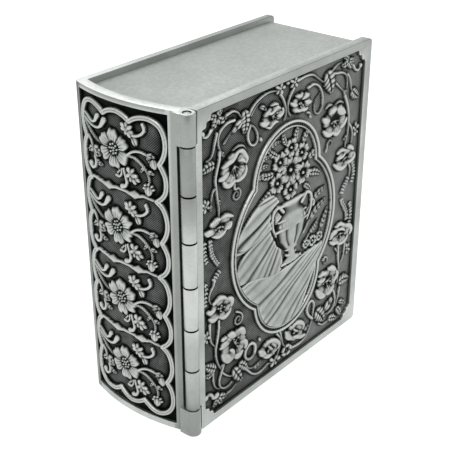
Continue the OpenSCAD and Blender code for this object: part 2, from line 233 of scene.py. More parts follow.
class Plate:
    """Height map of a cast relief over its flat ground: u across and v up, in millimetres."""

    def __init__(self, u0, u1, v0, v1, cell):
        self.u = np.arange(u0, u1 + cell / 2, cell)
        self.v = np.arange(v0, v1 + cell / 2, cell)
        self.cell = cell
        self.h = np.zeros((len(self.v), len(self.u)))

    def window(self, u0, u1, v0, v1):
        """The slices of the map inside a rectangle, and the coordinates there."""
        i0, i1 = np.searchsorted(self.u, (u0, u1))
        j0, j1 = np.searchsorted(self.v, (v0, v1))
        uu, vv = np.meshgrid(self.u[i0:i1], self.v[j0:j1])
        return (slice(j0, j1), slice(i0, i1)), uu, vv

    def turned(self, u, v, reach, tilt):
        """The slices round a point, and the coordinates from it, turned by degrees."""
        cut, uu, vv = self.window(u - reach, u + reach, v - reach, v + reach)
        c, s = math.cos(math.radians(tilt)), math.sin(math.radians(tilt))
        return cut, (uu - u) * c + (vv - v) * s, (vv - v) * c - (uu - u) * s

    def lift(self, cut, height):
        """Raises the map to a form's height where that is higher."""
        self.h[cut] = np.maximum(self.h[cut], height)

    def along(self, line, reach):
        """Near a line, each cell's distance from it, length along it, signed side and its length."""
        low, high = line.min(0) - reach, line.max(0) + reach
        cut, uu, vv = self.window(low[0], high[0], low[1], high[1])
        dist = np.full(uu.shape, 1e9)
        run = np.zeros(uu.shape)
        side = np.zeros(uu.shape)
        start = 0.0
        for a, b in zip(line[:-1], line[1:]):
            i0, i1 = np.searchsorted(uu[0], (min(a[0], b[0]) - reach, max(a[0], b[0]) + reach))
            j0, j1 = np.searchsorted(vv[:, 0], (min(a[1], b[1]) - reach, max(a[1], b[1]) + reach))
            near = (slice(j0, j1), slice(i0, i1))
            du, dv = b - a
            length = max(math.hypot(du, dv), 1e-6)
            x, y = uu[near] - a[0], vv[near] - a[1]
            t = np.clip((x * du + y * dv) / length ** 2, 0, 1)
            d = np.hypot(x - t * du, y - t * dv)
            closer = d < dist[near]
            dist[near] = np.where(closer, d, dist[near])
            run[near] = np.where(closer, start + t * length, run[near])
            side[near] = np.where(closer, np.sign(x * dv - y * du) * d, side[near])
            start += length
        return cut, dist, run, side, start


def smooth(x, low, high):
    """A soft step from 0 at low to 1 at high."""
    t = np.clip((x - low) / (high - low), 0, 1)
    return t * t * (3 - 2 * t)


def route(points, step=0.3):
    """A smooth line through given points."""
    p = np.array(points, float)
    if len(p) == 2:
        return p
    ends = np.vstack([2 * p[0] - p[1], p, 2 * p[-1] - p[-2]])
    line = []
    for a, b, c, d in zip(ends[:-3], ends[1:-2], ends[2:-1], ends[3:]):
        for t in np.arange(0, 1, step / max(np.linalg.norm(c - b), step)):
            line.append(0.5 * (2 * b + (c - a) * t + (2 * a - 5 * b + 4 * c - d) * t ** 2
                               + (3 * b - a - 3 * c + d) * t ** 3))
    return np.array(line + [p[-1]])


def round_top(q):
    """Section of a form from its middle, q = 0, to its foot, q = 1, with steep sides."""
    return np.sqrt(np.clip(1 - np.clip(q, 0, 1) ** 3, 0, 1))


def stem(plate, width, height, *points, end=0.55, twist=0.0):
    """A round stem that tapers to end times its width. Twist is the pitch of a rope's strands."""
    cut, dist, run, side, total = plate.along(route(points), width)
    share = run / total
    radius = width / 2 * (1 - (1 - end) * share)
    top = height * (1 - 0.3 * share)
    if twist:
        top = top * (0.84 + 0.16 * np.cos(2 * np.pi * (run + side * 1.1) / twist))
    plate.lift(cut, np.where(dist < radius, top * round_top(dist / radius), 0))


def knob(plate, u, v, length, width, height, turn=0.0):
    """A low oval boss, turned by degrees from the u axis."""
    cut, x, y = plate.turned(u, v, max(length, width) / 2, turn)
    q = np.hypot(x / (length / 2), y / (width / 2))
    plate.lift(cut, np.where(q < 1, height * round_top(q), 0))


def curl(plate, width, height, *points, tip=1.5):
    """A stem that thickens to a rounded tip."""
    stem(plate, width, height, *points, end=1.0)
    (a, b), (u, v) = points[-2:]
    turn = math.degrees(math.atan2(v - b, u - a))
    knob(plate, u, v, width * tip * 1.25, width * tip, height * 1.05, turn)


def scroll(plate, width, height, *points, tip=1.6):
    """A stem that swells to a round end, like a comma."""
    cut, dist, run, side, total = plate.along(route(points), width * tip)
    share = run / total
    radius = width / 2 * (0.8 + 0.2 * share + (tip - 1) * smooth(share, 0.6, 1.0))
    top = height * (0.86 + 0.14 * share)
    plate.lift(cut, np.where(dist < radius, top * round_top(dist / radius), 0))


def fold(plate, width, *points, height=1.0, heel=0.5):
    """A petal's rolled rim: a band that is widest in the middle and heel times that at its ends."""
    cut, dist, run, side, total = plate.along(route(points), width)
    swell = np.clip(np.sin(np.pi * run / total), 0, 1) ** 0.7
    radius = width / 2 * (heel + (1 - heel) * swell)
    plate.lift(cut, np.where(dist < radius, height * (0.8 + 0.2 * swell) * round_top(dist / radius), 0))


def cloth(plate, outline, apex, count, height, depth=0.4, edge=0.6):
    """A cloth inside a closed outline. Its pleats, a count of them, fan out from a point."""
    loop = route([*outline, outline[0]])
    cut, dist, run, side, total = plate.along(loop, 1.0)
    low, high = loop.min(0) - 1.0, loop.max(0) + 1.0
    cut, uu, vv = plate.window(low[0], high[0], low[1], high[1])
    inside = np.zeros(uu.shape, bool)
    for (a, b), (c, d) in zip(loop[:-1], loop[1:]):
        if b != d:
            inside ^= ((b > vv) != (d > vv)) & (uu < (c - a) * (vv - b) / (d - b) + a)
    toward = math.atan2(loop[:, 1].mean() - apex[1], loop[:, 0].mean() - apex[0])
    x = (uu - apex[0]) * math.cos(toward) + (vv - apex[1]) * math.sin(toward)
    y = (vv - apex[1]) * math.cos(toward) - (uu - apex[0]) * math.sin(toward)
    fan = np.arctan2(y, x)
    low, high = fan[inside].min(), fan[inside].max()
    phase = (fan - low) / (high - low) * count
    phase = phase + 0.1 * np.sin(0.3 * np.hypot(x, y) + 1.9 * phase) + 0.2 * np.sin(1.3 * phase)
    crest = (0.5 - 0.5 * np.cos(2 * np.pi * phase)) ** 0.8
    deep = depth * (0.72 + 0.28 * np.sin(2.3 * phase + 1.0))
    top = height * (1 - deep * (1 - crest)) * round_top(1 - np.clip(dist / edge, 0, 1))
    plate.lift(cut, np.where(inside, top, 0))


def bud(plate, a, b, width, height):
    """A closed bud from its stalk at a to its tip at b, with two seams."""
    length = math.hypot(b[0] - a[0], b[1] - a[1])
    reach = max(length, width)
    u, v = (a[0] + b[0]) / 2, (a[1] + b[1]) / 2
    cut, uu, vv = plate.window(u - reach, u + reach, v - reach, v + reach)
    c, s = (b[0] - a[0]) / length, (b[1] - a[1]) / length
    x, y = (uu - u) * c + (vv - v) * s, (vv - v) * c - (uu - u) * s
    t = np.clip(x / length + 0.5, 0, 1)
    half = width / 2 * np.sin(np.pi * t ** 0.85) ** 0.6
    q = np.abs(y) / np.maximum(half, 1e-6)
    seam = np.exp(-((np.abs(y) - 0.42 * half) / (0.07 * width)) ** 2)
    top = height * (0.8 + 0.2 * smooth(t, 0.1, 0.6)) * (1 - 0.3 * seam)
    plate.lift(cut, np.where((q < 1) & (t > 0) & (t < 1), top * round_top(q), 0))


def leaf(plate, width, height, *points, ribs=5, saw=0.16):
    """A serrated leaf along a line from its stalk to its tip, with raised bars between its veins."""
    cut, dist, run, side, total = plate.along(route(points), width)
    s = np.clip(run / total, 0, 1)
    across = np.abs(side)
    tooth = (s * ribs + 0.5 * across / width) % 1
    half = width / 2 * np.sin(np.pi * s ** 0.72) ** 0.75 * (1 - saw * tooth)
    q = across / np.maximum(half, 1e-6)
    bar = np.abs(np.sin(np.pi * (s * ribs - 0.9 * across / width))) ** 0.7
    top = height * (0.46 + 0.54 * bar) * (1 - 0.18 * s)
    top = top * (1 - 0.5 * np.exp(-(side / (0.07 * width)) ** 2))
    inside = (q < 1) & (dist <= across + 1e-6)
    plate.lift(cut, np.where(inside, top * round_top(q), 0))


def petals(plate, u, v, ru, rv, height, count=5, turn=0.0, lean=(0.0, 0.0), tilt=0.0,
           folds=0.0, throat=0.26, notch=0.2, ruffle=0.018, rise=0.74):
    """A ring of rolled petals. Lean shifts the throat inside the rim, tilt turns the oval."""
    cut, x, y = plate.turned(u, v, max(ru, rv) * 1.1, tilt)
    dx, dy = x / ru - lean[0], y / rv - lean[1]
    angle = np.arctan2(dy, dx)
    gap = np.hypot(dx, dy) + 1e-9
    # length from the throat to the oval's rim in this direction
    dot = lean[0] * (dx / gap) + lean[1] * (dy / gap)
    rim = -dot + np.sqrt(np.maximum(dot ** 2 + 1 - lean[0] ** 2 - lean[1] ** 2, 0))
    sector = ((angle - math.radians(turn)) * count / (2 * np.pi)) % 1 - 0.5
    edge = 1 - notch * np.abs(2 * sector) ** 3.2 - 0.05 * np.exp(-(sector / 0.1) ** 2)
    edge = edge + ruffle * (np.sin(11 * angle + 3 * u) + 0.7 * np.sin(17 * angle + v))
    q = gap / (rim * edge)
    dish = 0.22 + 0.78 * smooth(q, throat, rise)
    roll = 1 - 0.34 * smooth(q, 0.8, 1.0)
    cross = 1 - 0.42 * np.abs(2 * sector) ** 3 + 0.16 * sector
    ripple = 1 - folds * (0.5 + 0.5 * np.cos(2 * np.pi * (sector + 0.5) * 4)) * (1 - smooth(q, 0.35, 0.92))
    sides = np.sqrt(np.clip(1 - np.clip(q, 0, 1) ** 12, 0, 1))
    plate.lift(cut, np.where(q < 1, height * dish * roll * cross * ripple * sides, 0))


def rolled(plate, u, v, ru, rv, rims, stamens, count=5, turn=0.0, tilt=0.0, lean=(0.0, 0.0)):
    """A flower with rolled petals: a low ruffled ground, its rims as bands and its stamens.

    Each rim is a width with the points of its line, each stamen is its outer end.
    """
    petals(plate, u, v, ru, rv, 0.8, count=count, turn=turn, tilt=tilt, lean=lean, folds=0.28,
           throat=0.2, notch=0.12, rise=0.6)
    c, s = math.cos(math.radians(tilt)), math.sin(math.radians(tilt))
    throat = (u + (lean[0] * ru) * c - (lean[1] * rv) * s, v + (lean[0] * ru) * s + (lean[1] * rv) * c)
    for width, *points in rims:
        fold(plate, width, *points)
    for end in stamens:
        stem(plate, 0.42, 0.72, throat, end, end=0.9)
        knob(plate, *end, 0.7, 0.6, 0.9)


def cluster(plate, size, height, *points):
    """Small overlapping leaflets at given points, fanned out from the first one."""
    (a, b) = points[0]
    for k, (u, v) in enumerate(points):
        way = math.degrees(math.atan2(v - b, u - a))
        knob(plate, u, v, size * 1.5, size * 0.95, height * (0.8 + 0.2 * (k % 2)), way)


def catkin(plate, size, height, *points, pitch=0.95, lean=38):
    """A spray of paired seeds along a thin stalk."""
    line = route(points, 0.1)
    stem(plate, 0.36, height * 0.55, *points, end=0.8)
    run = np.concatenate([[0], np.cumsum(np.linalg.norm(np.diff(line, axis=0), axis=1))])
    for at in np.arange(pitch / 2, run[-1], pitch):
        i = min(int(np.searchsorted(run, at)), len(line) - 2)
        (u, v), (du, dv) = line[i], line[i + 1] - line[i]
        way = math.degrees(math.atan2(dv, du))
        for s in (-1, 1):
            a = math.radians(way + s * 90)
            out = size * 0.34
            knob(plate, u + out * math.cos(a), v + out * math.sin(a), size * 1.25, size * 0.66,
                 height, way + s * lean)


def tendril(plate, u, v, r, turns, start, width, height, *tail):
    """A tendril that winds in round (u, v), with an optional tail in front of it."""
    steps = int(turns * 8)
    points = list(tail)
    for k in range(steps + 1):
        a = math.radians(start - 45 * k)
        rk = r * (1 - 0.72 * k / steps)
        points.append((u + rk * math.cos(a), v + rk * math.sin(a)))
    stem(plate, width, height, *points, end=0.8)


def blur(field, sigma):
    """Gaussian blur of a map, sigma in cells, with its edge values carried on."""
    reach = int(3 * sigma) + 1
    taps = np.exp(-0.5 * (np.arange(-reach, reach + 1) / sigma) ** 2)
    taps /= taps.sum()
    wide = np.pad(field, reach, mode="edge")
    rows = sum(t * wide[:, k:k + field.shape[1]] for k, t in enumerate(taps))
    return sum(t * rows[k:k + field.shape[0]] for k, t in enumerate(taps))


def wear_map(plate, inside, ground, shade):
    """Rubbed bright on high and proud places, dark in hollows and beside the forms and the rim.

    The second map tells where the ground is hatched.
    """
    h = plate.h
    fine = h - blur(h, 0.45 / plate.cell)
    wide = h - blur(h, 2.2 / plate.cell)
    raised = smooth(h, 0.3, 0.85)
    walls = ((h > 0.15) | ~inside).astype(float)
    near = blur(walls, 0.35 / plate.cell)
    around = shade * smooth(blur(walls, 1.3 / plate.cell), 0.12, 0.65)
    field = ground - 0.3 * smooth(near, 0.02, 0.35) - around
    form = 0.13 + 0.6 * raised + 1.15 * np.clip(fine, -0.5, 0.5) + 0.2 * np.clip(wide, -0.6, 0.6)
    hatch = np.where(h > 0.05, 0, smooth(ground - around, 0.0, 0.2))
    return np.clip(np.where(h > 0.05, form, field), -0.3, 1), hatch


def relief_piece(name, plate, inside, to_points, ground, shade, flip=False):
    """A closed plate whose face is the height map inside a mask, and whose back is flat."""
    h = plate.h
    near = blur((h > 0.1).astype(float), 0.35 / plate.cell)
    top = np.where(h > 0.02, h, -0.16 * smooth(near, 0.02, 0.45))
    uu, vv = np.meshgrid(plate.u, plate.v)
    cell = inside[:-1, :-1] & inside[1:, :-1] & inside[1:, 1:] & inside[:-1, 1:]
    rows, columns = cell.shape
    used = np.zeros(inside.shape, bool)
    for dj in (0, 1):
        for di in (0, 1):
            used[dj:rows + dj, di:columns + di] |= cell
    number = np.full(inside.shape, -1)
    number[used] = np.arange(used.sum())
    jj, ii = np.nonzero(cell)
    quads = np.stack([number[jj, ii], number[jj, ii + 1], number[jj + 1, ii + 1], number[jj + 1, ii]], 1)
    # the sides of the cells that have no neighbour
    rims = []
    solid = np.pad(cell, 1)
    for k, (dj, di) in enumerate(((0, 1), (1, 2), (2, 1), (1, 0))):
        free = ~solid[dj:dj + rows, di:di + columns] & cell
        rims.append(quads[free[jj, ii]][:, (k, (k + 1) % 4)])
    rims = np.vstack(rims)
    edge_points = np.unique(rims)
    count = int(used.sum())
    below = np.full(count, -1)
    below[edge_points] = count + np.arange(len(edge_points))
    points = np.vstack([to_points(uu[used], vv[used], top[used]),
                        to_points(uu[used][edge_points], vv[used][edge_points], -PLATE_T)])
    walls = np.stack([rims[:, 1], rims[:, 0], below[rims[:, 0]], below[rims[:, 1]]], 1)
    faces = np.vstack([quads, walls])
    mesh = bpy.data.meshes.new(name)
    mesh.from_pydata(points.tolist(), [], faces[:, ::-1 if flip else 1].tolist())
    work = bmesh.new()
    work.from_mesh(mesh)
    loops = [e for e in work.edges if e.is_boundary]
    bmesh.ops.triangle_fill(work, edges=loops, use_beauty=False)
    bmesh.ops.recalc_face_normals(work, faces=work.faces)
    work.to_mesh(mesh)
    work.free()
    mesh.polygons.foreach_set("use_smooth", [True] * len(mesh.polygons))
    obj = link(mesh, name)
    for key, values in zip(("wear_and_painted_light", "hatch"), wear_map(plate, inside, ground, shade)):
        field = np.zeros(len(mesh.vertices))
        field[:count] = values[used]
        point_attribute(obj, field, key)
    return obj


def to_front(u, v, h):
    """A cover relief's map in space."""
    return place_all(u, GROUND - h, v)


def to_spine(u, v, h):
    """The spine relief's map, laid on the arc."""
    r = SPINE_R - GROUND + h
    sine = np.clip((u - SPINE_CY) / (SPINE_R - 0.15), -1, 1)
    return place_all(SPINE_CX - r * np.sqrt(1 - sine ** 2), SPINE_CY + r * sine, v)


# ---------------------------------------------------------------- front ornament
# Points are (x, z) on the front cover, in its own millimetres, set from its ornament.

STEM = 1.02
FINE = 0.62


def front_flowers(p):
    """The twelve large flowers, each with its rims drawn."""
    # near the corners
    fold(p, 0.9, (14.8, 84.2), (17, 84.8), (19.2, 84.2), (20.6, 82.6), height=0.6)
    rolled(p, 15.2, 79, 5.6, 4.9, (
        (1.9, (10.6, 80.7), (12.5, 81.2), (14.5, 81.6), (16, 82.7), (17.3, 83.4)),
        (1.9, (17, 83.3), (18.6, 82.9), (19.8, 81.4), (20.6, 80.2), (20.3, 79)),
        (1.3, (17.2, 80.6), (18.6, 80.4), (19.8, 79.4)),
        (2.1, (9.4, 77.4), (10.8, 77.6), (12.8, 78.4)),
        (1.9, (10.9, 76.4), (11.9, 75), (13.6, 74.6), (15.6, 75.3)),
        (1.7, (15.8, 75), (17.4, 74.9), (19.2, 75.5), (20.2, 76.8), (20.3, 78))),
        ((18.4, 77.7), (16.4, 76.7), (14.6, 76.5), (13.7, 77.5)), turn=60, lean=(0.05, 0.1))
    fold(p, 1.1, (57.8, 83.4), (59.2, 84.1), (61, 83.8), height=0.6)
    fold(p, 1, (62.4, 83.4), (64.8, 83.8), (67, 82.8), height=0.6)
    rolled(p, 62.7, 78.6, 6.1, 5.2, (
        (2.3, (56.6, 80.4), (58, 79.5), (59.6, 79.2)),
        (2, (59.8, 81.4), (61.2, 81.7), (63, 82)),
        (3, (63.8, 81.6), (65.8, 80.5), (67.8, 79.4)),
        (2, (57, 76.4), (58.6, 75.1), (60.4, 74.5), (61.9, 74.8)),
        (1.7, (62, 74.4), (63.8, 73.7), (65.8, 74.5)),
        (1.9, (65.4, 75.2), (67.2, 75.8), (68.9, 77.3))),
        ((62.3, 76.6), (60.9, 77.9), (64.6, 76), (65.4, 77.6)), count=6, turn=14, lean=(-0.04, -0.08))
    rolled(p, 15.2, 21.8, 6, 5.4, (
        (2.8, (9.6, 23.7), (10.9, 24.2), (12.6, 23.8)),
        (1.4, (10, 26), (11, 26.4), (12, 26.4)),
        (2.7, (12.9, 26.5), (14.4, 25.9), (15.9, 24.9)),
        (2.7, (17.5, 26), (19, 25.2), (20.3, 23.6)),
        (2.1, (18.6, 21.4), (20, 20.9), (21, 19.6), (20.7, 18.2)),
        (2.6, (15.6, 17.7), (17.3, 17.1), (19.2, 17.8)),
        (3.4, (10.3, 20.9), (11.6, 19.3), (13, 18), (14.5, 17.6)),
        (1.6, (13.6, 21), (14.8, 20), (15.2, 18.6))),
        ((17.4, 23.6), (15.2, 24), (18.8, 20.7), (17, 20.6)), count=6, turn=35, lean=(0.1, 0.1))
    rolled(p, 63, 21.6, 6, 5.2, (
        (1.9, (58.4, 25.7), (60.3, 25.9), (62.2, 25.3)),
        (1.8, (58.2, 24), (59.9, 23.4), (61.5, 23.6)),
        (3, (57.4, 20.7), (58.6, 19.2), (60.4, 17.5), (62, 16.8)),
        (2.6, (62.6, 17.3), (64.8, 17.3), (66.8, 18.5)),
        (2.1, (66.2, 20.7), (67.8, 21.2), (68.6, 22.4), (68.1, 23.7)),
        (2.4, (63.4, 26.4), (65.5, 25.8), (67.6, 24.4))),
        ((60.8, 21.9), (64.7, 21.3), (66, 22.6), (63.2, 20)), count=6, turn=5, lean=(0, 0.08))
    # flowers beside the medallion
    rolled(p, 9.3, 63.6, 5.3, 2.8, (
        (1.5, (5.6, 65.3), (7.6, 66.2), (9.7, 65.9)),
        (1.5, (10, 66.1), (12, 66.1), (14.8, 64.9)),
        (2.4, (3.4, 63.8), (4.6, 63.4), (6, 63.5)),
        (1.9, (11.6, 62.4), (13.2, 62.3), (14.1, 63.2)),
        (1.4, (6.4, 61.7), (8.4, 60.9), (10.6, 61.2), (11.8, 62))),
        ((7.4, 63.4), (8.8, 62.6), (10.4, 63.2)), turn=10)
    rolled(p, 69.2, 63.8, 5.3, 3.2, (
        (1.4, (65.2, 66.5), (67, 67.2), (69.5, 66.5)),
        (1.2, (65.2, 65), (67.5, 64.8), (69.4, 65.6)),
        (1.7, (70.6, 67), (72.4, 66.6), (73.8, 65.3)),
        (1.7, (70.8, 62), (72.8, 61.9), (74.4, 62.9), (74.2, 64.2)),
        (1.9, (63.6, 63.3), (65.4, 61.9), (67.6, 60.9), (70.2, 61))),
        ((67.8, 62.8), (69.6, 62.4), (71.4, 63.6)), turn=32)
    rolled(p, 9.4, 37.4, 5.2, 3.5, (
        (1.7, (6.4, 40.1), (8.6, 41), (10.6, 40.6), (12.1, 39.5)),
        (2, (3.9, 38.7), (5.2, 38), (6.9, 38.4)),
        (2, (4.6, 36), (6.2, 35.1), (8.1, 35.4)),
        (1.8, (8.6, 35), (10.8, 33.9), (13, 34.6), (13.7, 35.6)),
        (2.2, (12.8, 39.3), (14.3, 38), (14.1, 36.3))),
        ((8.3, 37.9), (9.8, 38.3), (11, 37.3), (9.4, 36.6)), count=6, turn=2)
    rolled(p, 69.5, 37.1, 5.6, 3.6, (
        (1.7, (66.4, 40.5), (69, 40.8), (71.2, 39.5)),
        (1.3, (67.6, 39.2), (70.2, 38.5), (71.6, 37.4)),
        (1.8, (63.6, 37.4), (65, 38.8), (67, 39.2)),
        (1.8, (63.8, 36), (65.6, 35), (67.8, 34.7)),
        (1.7, (67.6, 34.1), (70, 33.4), (72.4, 33.9), (73.6, 35)),
        (2.2, (72, 38.8), (74, 38.3), (75.4, 36.5), (74.8, 35))),
        ((67.4, 36.9), (69.4, 35.9), (71.8, 36.2)), turn=24)
    # flowers above and below the medallion
    rolled(p, 31.8, 88.9, 4.9, 3.1, (
        (2, (26.8, 88.1), (28.4, 87.5), (30, 87.6)),
        (1.2, (29.4, 90.4), (31, 89.9), (32.4, 90.4), (33.8, 91.1), (35.2, 90.3)),
        (1.2, (33.9, 88.5), (35.1, 88.1), (36.2, 88.8), (36.5, 89.9)),
        (1.1, (29, 86.5), (30.4, 85.9), (31.6, 86.5), (33, 86.9), (34.3, 86.6)),
        (1, (31.2, 92.2), (32.6, 92.3), (34.2, 91.8))),
        ((33.9, 87.6), (32.4, 87.3), (33.6, 89.4)), turn=20)
    rolled(p, 45, 89.1, 4.8, 3.3, (
        (1.5, (40.2, 90.2), (41.5, 89.4), (43, 88.9)),
        (1.3, (42.6, 91.7), (44, 91.4), (45.2, 91)),
        (1.5, (45.6, 90.1), (47, 90.5), (48.6, 90.8)),
        (1.5, (47, 89), (48.4, 88.3), (49.9, 88.2)),
        (1.2, (41.9, 87.8), (43.5, 87.1), (45.2, 86.8)),
        (1.2, (45.2, 86.8), (46.6, 86.5), (48.1, 86.7))),
        ((44, 89), (45.8, 88.2), (44.8, 87.9)), count=6, turn=8)
    rolled(p, 32.4, 11.2, 5.2, 3.3, (
        (2.6, (27.9, 12.7), (29.1, 11.4), (30.6, 10.5)),
        (1.9, (31.2, 14.4), (34, 13.7), (36.3, 12.3), (37.6, 10.6), (37, 9.3)),
        (1.6, (30, 9.6), (31.8, 8.8), (33.8, 8.6)),
        (1, (32, 12.7), (33, 11.6), (34.2, 10.3)),
        (1, (33.8, 12.8), (35, 11.6), (36, 10.2))),
        ((32, 10.6), (34.6, 9.4)), tilt=-24, turn=12)
    rolled(p, 45.8, 10.8, 5.3, 3.3, (
        (2.4, (41.2, 12.8), (42.2, 10.9), (44.2, 9.2)),
        (1.9, (44.4, 13.7), (47, 13.8), (49.2, 12.8), (50.6, 11.2), (50.2, 9.9)),
        (1.9, (44.8, 9.3), (47, 8.4), (49.4, 7.3), (51.6, 6.9)),
        (1, (45, 12.4), (46.2, 11.2), (47.6, 10.4))),
        ((45.4, 10.6), (47.2, 12.2), (48.4, 10)), tilt=-26, turn=18)


def corner_leaves(p):
    """Small leaves and curls in the four corners."""
    # upper left
    leaf(p, 2.7, 0.85, (8.6, 95.4), (10.3, 94.1), (12.6, 94.8), ribs=3)
    leaf(p, 2.5, 0.85, (8.2, 95.2), (7.4, 93.6), (6.4, 92.5), ribs=3)
    leaf(p, 2.4, 0.8, (8.4, 95.6), (6.8, 96), (5.5, 97), ribs=3)
    leaf(p, 2.2, 0.8, (8.8, 95.8), (9.6, 96.6), (10.9, 97), ribs=3)
    curl(p, 0.9, 0.8, (6.2, 92.7), (4.6, 91.4), (3.3, 91.6), (2.9, 92.6))
    # upper right
    leaf(p, 2.5, 0.85, (68.3, 95.5), (66.6, 94.7), (64.9, 95), ribs=3)
    leaf(p, 2.6, 0.85, (68.6, 95.2), (69.8, 93.7), (71, 92.9), ribs=3)
    leaf(p, 2.3, 0.8, (68.8, 95.6), (70.3, 95.2), (72, 95.6), ribs=3)
    leaf(p, 2.2, 0.8, (68.4, 95.8), (67.4, 96.7), (66, 97), ribs=3)
    curl(p, 0.9, 0.8, (71, 93.6), (72.5, 91.8), (74.2, 91.3), (75.2, 92.4))
    # lower left
    leaf(p, 3, 0.85, (8.5, 7), (10.4, 6), (12.4, 5.4), ribs=3)
    leaf(p, 2.6, 0.85, (8, 6.6), (8.8, 5.2), (10.2, 3.9), ribs=3)
    leaf(p, 2.4, 0.8, (7.8, 6.6), (6.8, 5.2), (5.9, 4.3), ribs=3)
    knob(p, 7.3, 7.9, 3, 2.1, 0.9, 15)
    curl(p, 1.3, 0.8, (6, 7.9), (5.2, 9.4), (3.9, 10), (2.7, 9.6))
    # lower right
    leaf(p, 3.3, 0.9, (65, 6.4), (67.3, 5.6), (70.2, 4), ribs=4)
    leaf(p, 3, 0.9, (69.6, 8.6), (71.2, 6.6), (72.6, 4), ribs=4)
    leaf(p, 2.2, 0.85, (70.6, 10.3), (72.6, 9.6), (75, 7.6), ribs=3)


def border_leaves(p):
    """The leaves and leaflets along the border."""
    # broad ribbed leaves beside the upper and lower flowers
    leaf(p, 4.8, 0.95, (19.6, 94.2), (20.1, 91), (19.6, 87.2), ribs=6)
    leaf(p, 2.6, 0.95, (18.8, 92), (17, 90.8), (14.4, 89.2), ribs=2, saw=0.05)
    leaf(p, 6.6, 0.95, (57.4, 94.9), (59.2, 91.4), (60.4, 87.4), ribs=5)
    leaf(p, 4.2, 0.9, (15.2, 13.4), (16.8, 10.8), (19.6, 6.6), ribs=4, saw=0.05)
    leaf(p, 3.6, 0.9, (17.8, 13.8), (20.2, 11.8), (22.2, 8.8), ribs=5)
    leaf(p, 6, 0.95, (57.4, 13.2), (60.2, 10.2), (62.6, 6.6), ribs=5)
    leaf(p, 3.6, 0.95, (62.2, 10.6), (64.6, 12.4), (67, 14.2), ribs=2, saw=0.04)
    # leaves at the sides
    leaf(p, 3.8, 0.85, (7.4, 82.6), (4.8, 82.7), (1.8, 81.6), ribs=5)
    leaf(p, 4, 0.85, (71.2, 85.6), (73, 83.9), (75.6, 82.2), ribs=5)
    leaf(p, 3.8, 0.85, (7.2, 17.6), (5, 19.2), (2.2, 21.2), ribs=5)
    leaf(p, 2.6, 0.8, (6, 17.2), (4.2, 16.8), (2.2, 17.6), ribs=4)
    leaf(p, 5, 0.9, (69.9, 18.2), (72.6, 18.4), (76.4, 17.2), ribs=5)
    # small leaf groups
    cluster(p, 1.15, 0.8, (3.6, 71.8), (2.5, 72.6), (3.4, 73.2), (4.4, 72.6), (2.4, 71.2), (3.3, 70.6),
            (4.6, 71.2))
    cluster(p, 1.15, 0.8, (74.4, 71.7), (73.4, 72.6), (74.6, 73.6), (75.6, 72.6), (75.5, 70.8), (74.2, 70.4))
    cluster(p, 1.2, 0.8, (3, 30.6), (2.4, 31.8), (3.6, 31.7), (2.2, 29.8), (3.4, 29.1), (4.3, 30.2))
    cluster(p, 1.2, 0.8, (73.9, 29.6), (73.5, 31), (74.7, 30.6), (74.9, 29), (73.9, 28.2))
    cluster(p, 1.15, 0.85, (35, 96), (33.9, 96.6), (35.6, 96.9), (36.6, 96), (34, 95.2), (35.7, 94.9))
    cluster(p, 1.15, 0.85, (41.6, 96.1), (40.4, 96.7), (42.2, 97), (43.3, 96.2), (40.6, 95.3), (42.4, 95.1),
            (38.6, 96.6))
    cluster(p, 1.5, 0.85, (35.2, 5.4), (34, 6.3), (36.4, 6.1), (34.4, 4.4), (36, 4.2), (37.6, 5.2))
    petals(p, 41.8, 6, 2.9, 2.3, 0.85, turn=40, throat=0.1)
    knob(p, 41.8, 6, 0.9, 0.9, 0.51)
    leaf(p, 1.7, 0.8, (26.2, 93.2), (27.8, 92.5), (29.4, 91.2), ribs=2)
    leaf(p, 1.6, 0.75, (24.9, 8.2), (26.6, 8.2), (28.9, 8.9), ribs=3)
    leaf(p, 1.7, 0.75, (51, 8.9), (52.4, 8.9), (54, 9.6), ribs=2)
    knob(p, 26.8, 83.6, 1.9, 1.2, 0.75, -60)
    knob(p, 27.8, 17.3, 1.9, 1.1, 0.75, -65)
    curl(p, 0.7, 0.7, (48.3, 85.1), (49.5, 84.7), (49.9, 83.4), tip=1.2)
    leaf(p, 1.5, 0.75, (10.2, 85.4), (10.8, 84.4), (11.3, 83.4), ribs=2)
    leaf(p, 1.6, 0.75, (66.8, 86.6), (67.6, 85.9), (68.9, 86.2), ribs=2)
    leaf(p, 1.5, 0.75, (9.4, 16.9), (10.5, 17.3), (11.4, 17), ribs=2)
    leaf(p, 1.5, 0.75, (70.2, 71.3), (69, 70.6), (67.9, 70), ribs=2)
    leaf(p, 1.4, 0.75, (8.5, 71.8), (9.3, 71), (9.5, 70), ribs=2)
    leaf(p, 1.4, 0.75, (6, 71.6), (5.7, 70.6), (5.9, 69.4), ribs=2)
    leaf(p, 1.4, 0.75, (8.6, 32), (9, 31.2), (9.9, 30.4), ribs=2)


